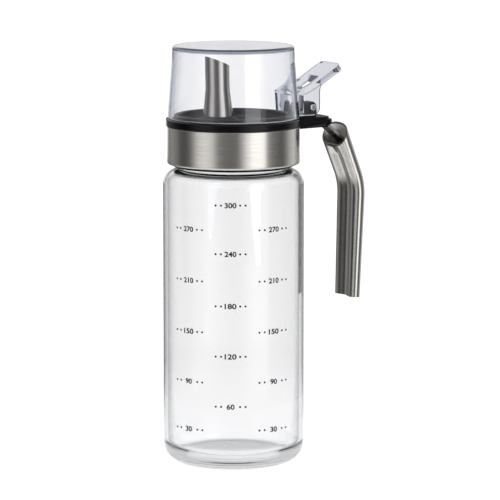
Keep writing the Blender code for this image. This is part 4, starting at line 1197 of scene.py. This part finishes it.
def makeRings():
    look = sealLook
    axis = deckLook["spoutAxis"]
    pieces = (
        ("mouthGasket", "gasket", 0.0, silicone, "mouth_gasket", "silicone", "seal", 128),
        ("spoutSeal", "spoutSeal", axis, silicone, "spout_seal", "silicone", "cap", 64),
        ("spoutRetainer", "retainer", axis, blackPlastic, "spout_retainer", "black_plastic", "cap", 64),
    )
    for name, key, place, material, node, slot, body, steps in pieces:
        inner, outer, low, high = look[key]
        corners = [(inner, high), (outer, high), (outer, low), (inner, low)]
        profile = roundedPath(corners, [look["round"]] * 4, 4)
        shape = turnedShape(profile, steps, closed=True, middle=(place, 0.0))
        settleShape(name, shape, 40.0, material, node, slot, body)


def makeValve():
    look = sealLook
    top, radius, stem, edge = look["valveTop"], look["valveRadius"], look["valveStem"], look["valveEdge"]
    low, stemTop = top - look["valveThickness"], look["stemTop"]
    profile = [(0.0, stemTop), (stem * 0.6, stemTop), (stem, stemTop - look["stemChamfer"])]
    profile += [(stem, top), (radius - edge, top), (radius, top - edge), (radius, (top + low) / 2)]
    profile += [(radius * 0.85, low + look["valveCurve"]), (radius / 2, low), (0.0, low)]
    shape = turnedShape(profile, look["valveSteps"], middle=(deckLook["vent"], 0.0))
    settleShape("ventValve", shape, 40.0, silicone, "vent_valve", "silicone", "cap")


makeRings()
makeValve()
print("seals made")


# Stage: white floor and background, two lamps, and a tent of light and dark for the metal to mirror

stageLook = {
    "distance": 1563.0 * mm, "cameraHeight": 318.0 * mm, "turn": 28.0, "lens": 255.8, "sensor": 36.0, "farthest": 20.0,
    "aimHeight": 92.0 * mm, "imageShift": (16.5 / 500, 5.12 / 500),
    "lampDistance": 0.65, "lampHeight": 1.1,
    "lamps": {"rightLamp": (45.0, 0.33, 4.6), "leftLamp": (-43.0, 0.14, 0.8)},
    "floorHalf": 6.0, "floorDrop": 0.2 * mm, "floorGlow": 0.86,
    # painted contact shadow round the foot of the bottle
    "contactShadowStops": ((0.0, 0.95), (0.40, 0.93), (0.45, 0.80), (0.475, 0.50), (0.52, 0.82), (0.62, 0.96), (0.9, 1.0)),
    "contactShadowReach": 50.0 * mm,
    "aroundGlow": 0.35,
    "tentSteps": 120, "tentRadius": 0.3, "tentFootRadius": 0.17, "tentFootBehind": 0.05, "tentFootBlend": (0.18, 0.27),
    "tentBottom": 0.5 * mm, "tentFrontHeight": 0.24, "tentBackHeight": 0.20, "tentBackAngle": 120.0,
    "tentGapAngle": 152.0, "tentGapBottom": 0.10, "tentGapTop": 0.16,
    "tentStops": (
        (-180, 0.07), (-158, 0.07), (-144, 0.24), (-128, 0.36), (-110, 0.22), (-97, 0.08), (-86, 0.08),
        (-77, 0.17), (-69, 0.46), (-61, 0.86), (-50, 1.06), (-38, 0.94), (-32, 0.66), (-26, 0.30), (-18, 0.19),
        (-4, 0.14), (4, 0.15), (8, 0.20), (14, 0.50), (21, 1.05), (28, 1.40), (31, 1.75), (53, 1.70), (58, 0.45),
        (64, 0.28), (74, 0.18), (90, 0.10), (99, 0.24), (110, 0.58), (124, 0.82), (144, 0.28), (180, 0.07),
    ),
}


def roundStage(angle, distance, height):
    # a place round the object: angle 0 is towards the camera, positive to the right of the view
    turn = math.radians(angle - stageLook["turn"])
    return Vector((distance * math.sin(turn), -distance * math.cos(turn), height))


def whiteSeen(tree):
    # 1 for rays that see the background directly, in metal or through glass
    rays = addNode(tree, "ShaderNodeLightPath").outputs
    seen = mathNode(tree, "MAXIMUM", rays["Is Camera Ray"], rays["Is Glossy Ray"])
    return mathNode(tree, "MAXIMUM", seen, rays["Is Transmission Ray"])


def makeFloor():
    look = stageLook
    shape = bmesh.new()
    bmesh.ops.create_grid(shape, x_segments=1, y_segments=1, size=look["floorHalf"])
    material, tree, shader = newMaterial("floorPaper", {"Base Color": (0.5, 0.5, 0.5), "Roughness": 0.9})
    # painted contact shadow: the floor's glow is darker where the bottle touches the paper
    away = mathNode(tree, "DIVIDE", fromAxis(tree, objectPlace(tree)), look["contactShadowReach"])
    contactShadow = mathNode(tree, "MULTIPLY", ramp(tree, away, look["contactShadowStops"]), look["floorGlow"])
    glow = mathNode(tree, "MULTIPLY", whiteSeen(tree), contactShadow)
    light = addNode(tree, "ShaderNodeEmission", {"Color": (1.0, 1.0, 1.0), "Strength": glow}).outputs[0]
    surface(tree, addNode(tree, "ShaderNodeAddShader", {0: shader.outputs[0], 1: light}).outputs[0])
    floor = newPiece("floor", meshOf("floor", shape), material)
    floor.location.z = -look["floorDrop"]


def makeWorld():
    world = bpy.data.worlds.new("studio")
    world.use_nodes = True
    bpy.context.scene.world = world
    tree = world.node_tree
    strength = spread(tree, whiteSeen(tree), 0.0, 1.0, stageLook["aroundGlow"])
    wire(tree.nodes["Background"], {"Color": (1.0, 1.0, 1.0), "Strength": strength})


def makeLamps():
    look = stageLook
    for name, (angle, width, power) in look["lamps"].items():
        light = bpy.data.lights.new(name, "AREA")
        light.shape = "RECTANGLE"
        light.size, light.size_y = width, look["lampHeight"]
        light.energy = power
        lamp = placed(name, light)
        place = roundStage(angle, look["lampDistance"], look["lampHeight"] / 2)
        lamp.location = place
        lamp.rotation_euler = Vector((-place.x, -place.y, 0.0)).to_track_quat("-Z", "Z").to_euler()
        lamp.visible_camera = False
        lamp.visible_glossy = False


def tentMaterial():
    # strength of the light by the angle round the object, counted from the camera
    look = stageLook
    material, tree, shader = newMaterial("tentLight", {})
    place = objectPlace(tree)
    across, deep, _ = axesOf(tree, place)
    angle = mathNode(tree, "ARCTAN2", across, mathNode(tree, "MULTIPLY", deep, -1.0))
    share = mathNode(tree, "MULTIPLY_ADD", angle, 0.5 / math.pi, 0.5 + look["turn"] / 360.0)
    share = mathNode(tree, "FRACT", share)
    brightest = max(strength for _, strength in look["tentStops"])
    stops = [((stop + 180.0) / 360.0, strength / brightest) for stop, strength in look["tentStops"]]
    # the foot of the tent fades into the white floor
    fade = spread(tree, fromAxis(tree, place), *look["tentFootBlend"])
    # but stays dark behind the object, where the edges of the glass mirror it
    behind = mathNode(tree, "ABSOLUTE", mathNode(tree, "SUBTRACT", share, 0.5))
    behind = mathNode(tree, "GREATER_THAN", behind, look["tentGapAngle"] / 360.0)
    fade = mathNode(tree, "MAXIMUM", fade, behind)
    shade = mixColour(tree, fade, [look["floorGlow"] / brightest] * 3, ramp(tree, share, stops))
    surface(tree, addNode(tree, "ShaderNodeEmission", {"Color": shade, "Strength": brightest}).outputs[0])
    tree.nodes.remove(shader)
    return material


def makeTent():
    look = stageLook
    shape = bmesh.new()
    columns = []
    bottom, radius, steps = look["tentBottom"], look["tentRadius"], look["tentSteps"]
    for step in range(steps):
        angle = -180.0 + 360.0 * step / steps
        high = look["tentFrontHeight"] if abs(angle) < look["tentBackAngle"] else look["tentBackHeight"]
        foot = look["tentFootRadius"] if abs(angle) < look["tentGapAngle"] else look["tentFootBehind"]
        corners = [(foot, bottom)] + [(radius, z) for z in (bottom, look["tentGapBottom"], look["tentGapTop"], high)]
        columns.append((angle, [shape.verts.new(roundStage(angle, reach, height)) for reach, height in corners]))
    for (angle, left), (_, right) in zip(columns, columns[1:] + columns[:1]):
        # behind the cap the wall is left open, so that the cover's edges mirror the white background
        for row in (0, 1, 3) if abs(angle) > look["tentGapAngle"] else (0, 1, 2, 3):
            shape.faces.new((left[row], right[row], right[row + 1], left[row + 1]))
    tent = newPiece("lightTent", meshOf("lightTent", shape), tentMaterial())
    tent.visible_camera = False
    tent.visible_transmission = False
    tent.visible_diffuse = False
    tent.visible_shadow = False


def makeCamera():
    look = stageLook
    turn = math.radians(look["turn"])
    place = roundStage(0.0, look["distance"], look["cameraHeight"])
    aim = Vector((0.0, 0.0, look["aimHeight"]))
    data = bpy.data.cameras.new("photoCamera")
    data.lens, data.sensor_width, data.clip_end = look["lens"], look["sensor"], look["farthest"]
    camera = placed("photoCamera", data)
    away = aim - place
    right = Vector((math.cos(turn), -math.sin(turn), 0.0))
    up = right.cross(away.normalized())
    # the frame's middle lies a little to the right of the bottle's axis and above the aim
    scale = look["sensor"] / look["lens"] * away.length
    aim = aim + right * look["imageShift"][0] * scale + up * look["imageShift"][1] * scale
    camera.location = place
    camera.rotation_euler = (aim - place).to_track_quat("-Z", "Y").to_euler()
    bpy.context.scene.camera = camera


makeFloor()
makeWorld()
makeLamps()
makeTent()
makeCamera()
bpy.context.scene.view_settings.view_transform = "Standard"
print("stage set")
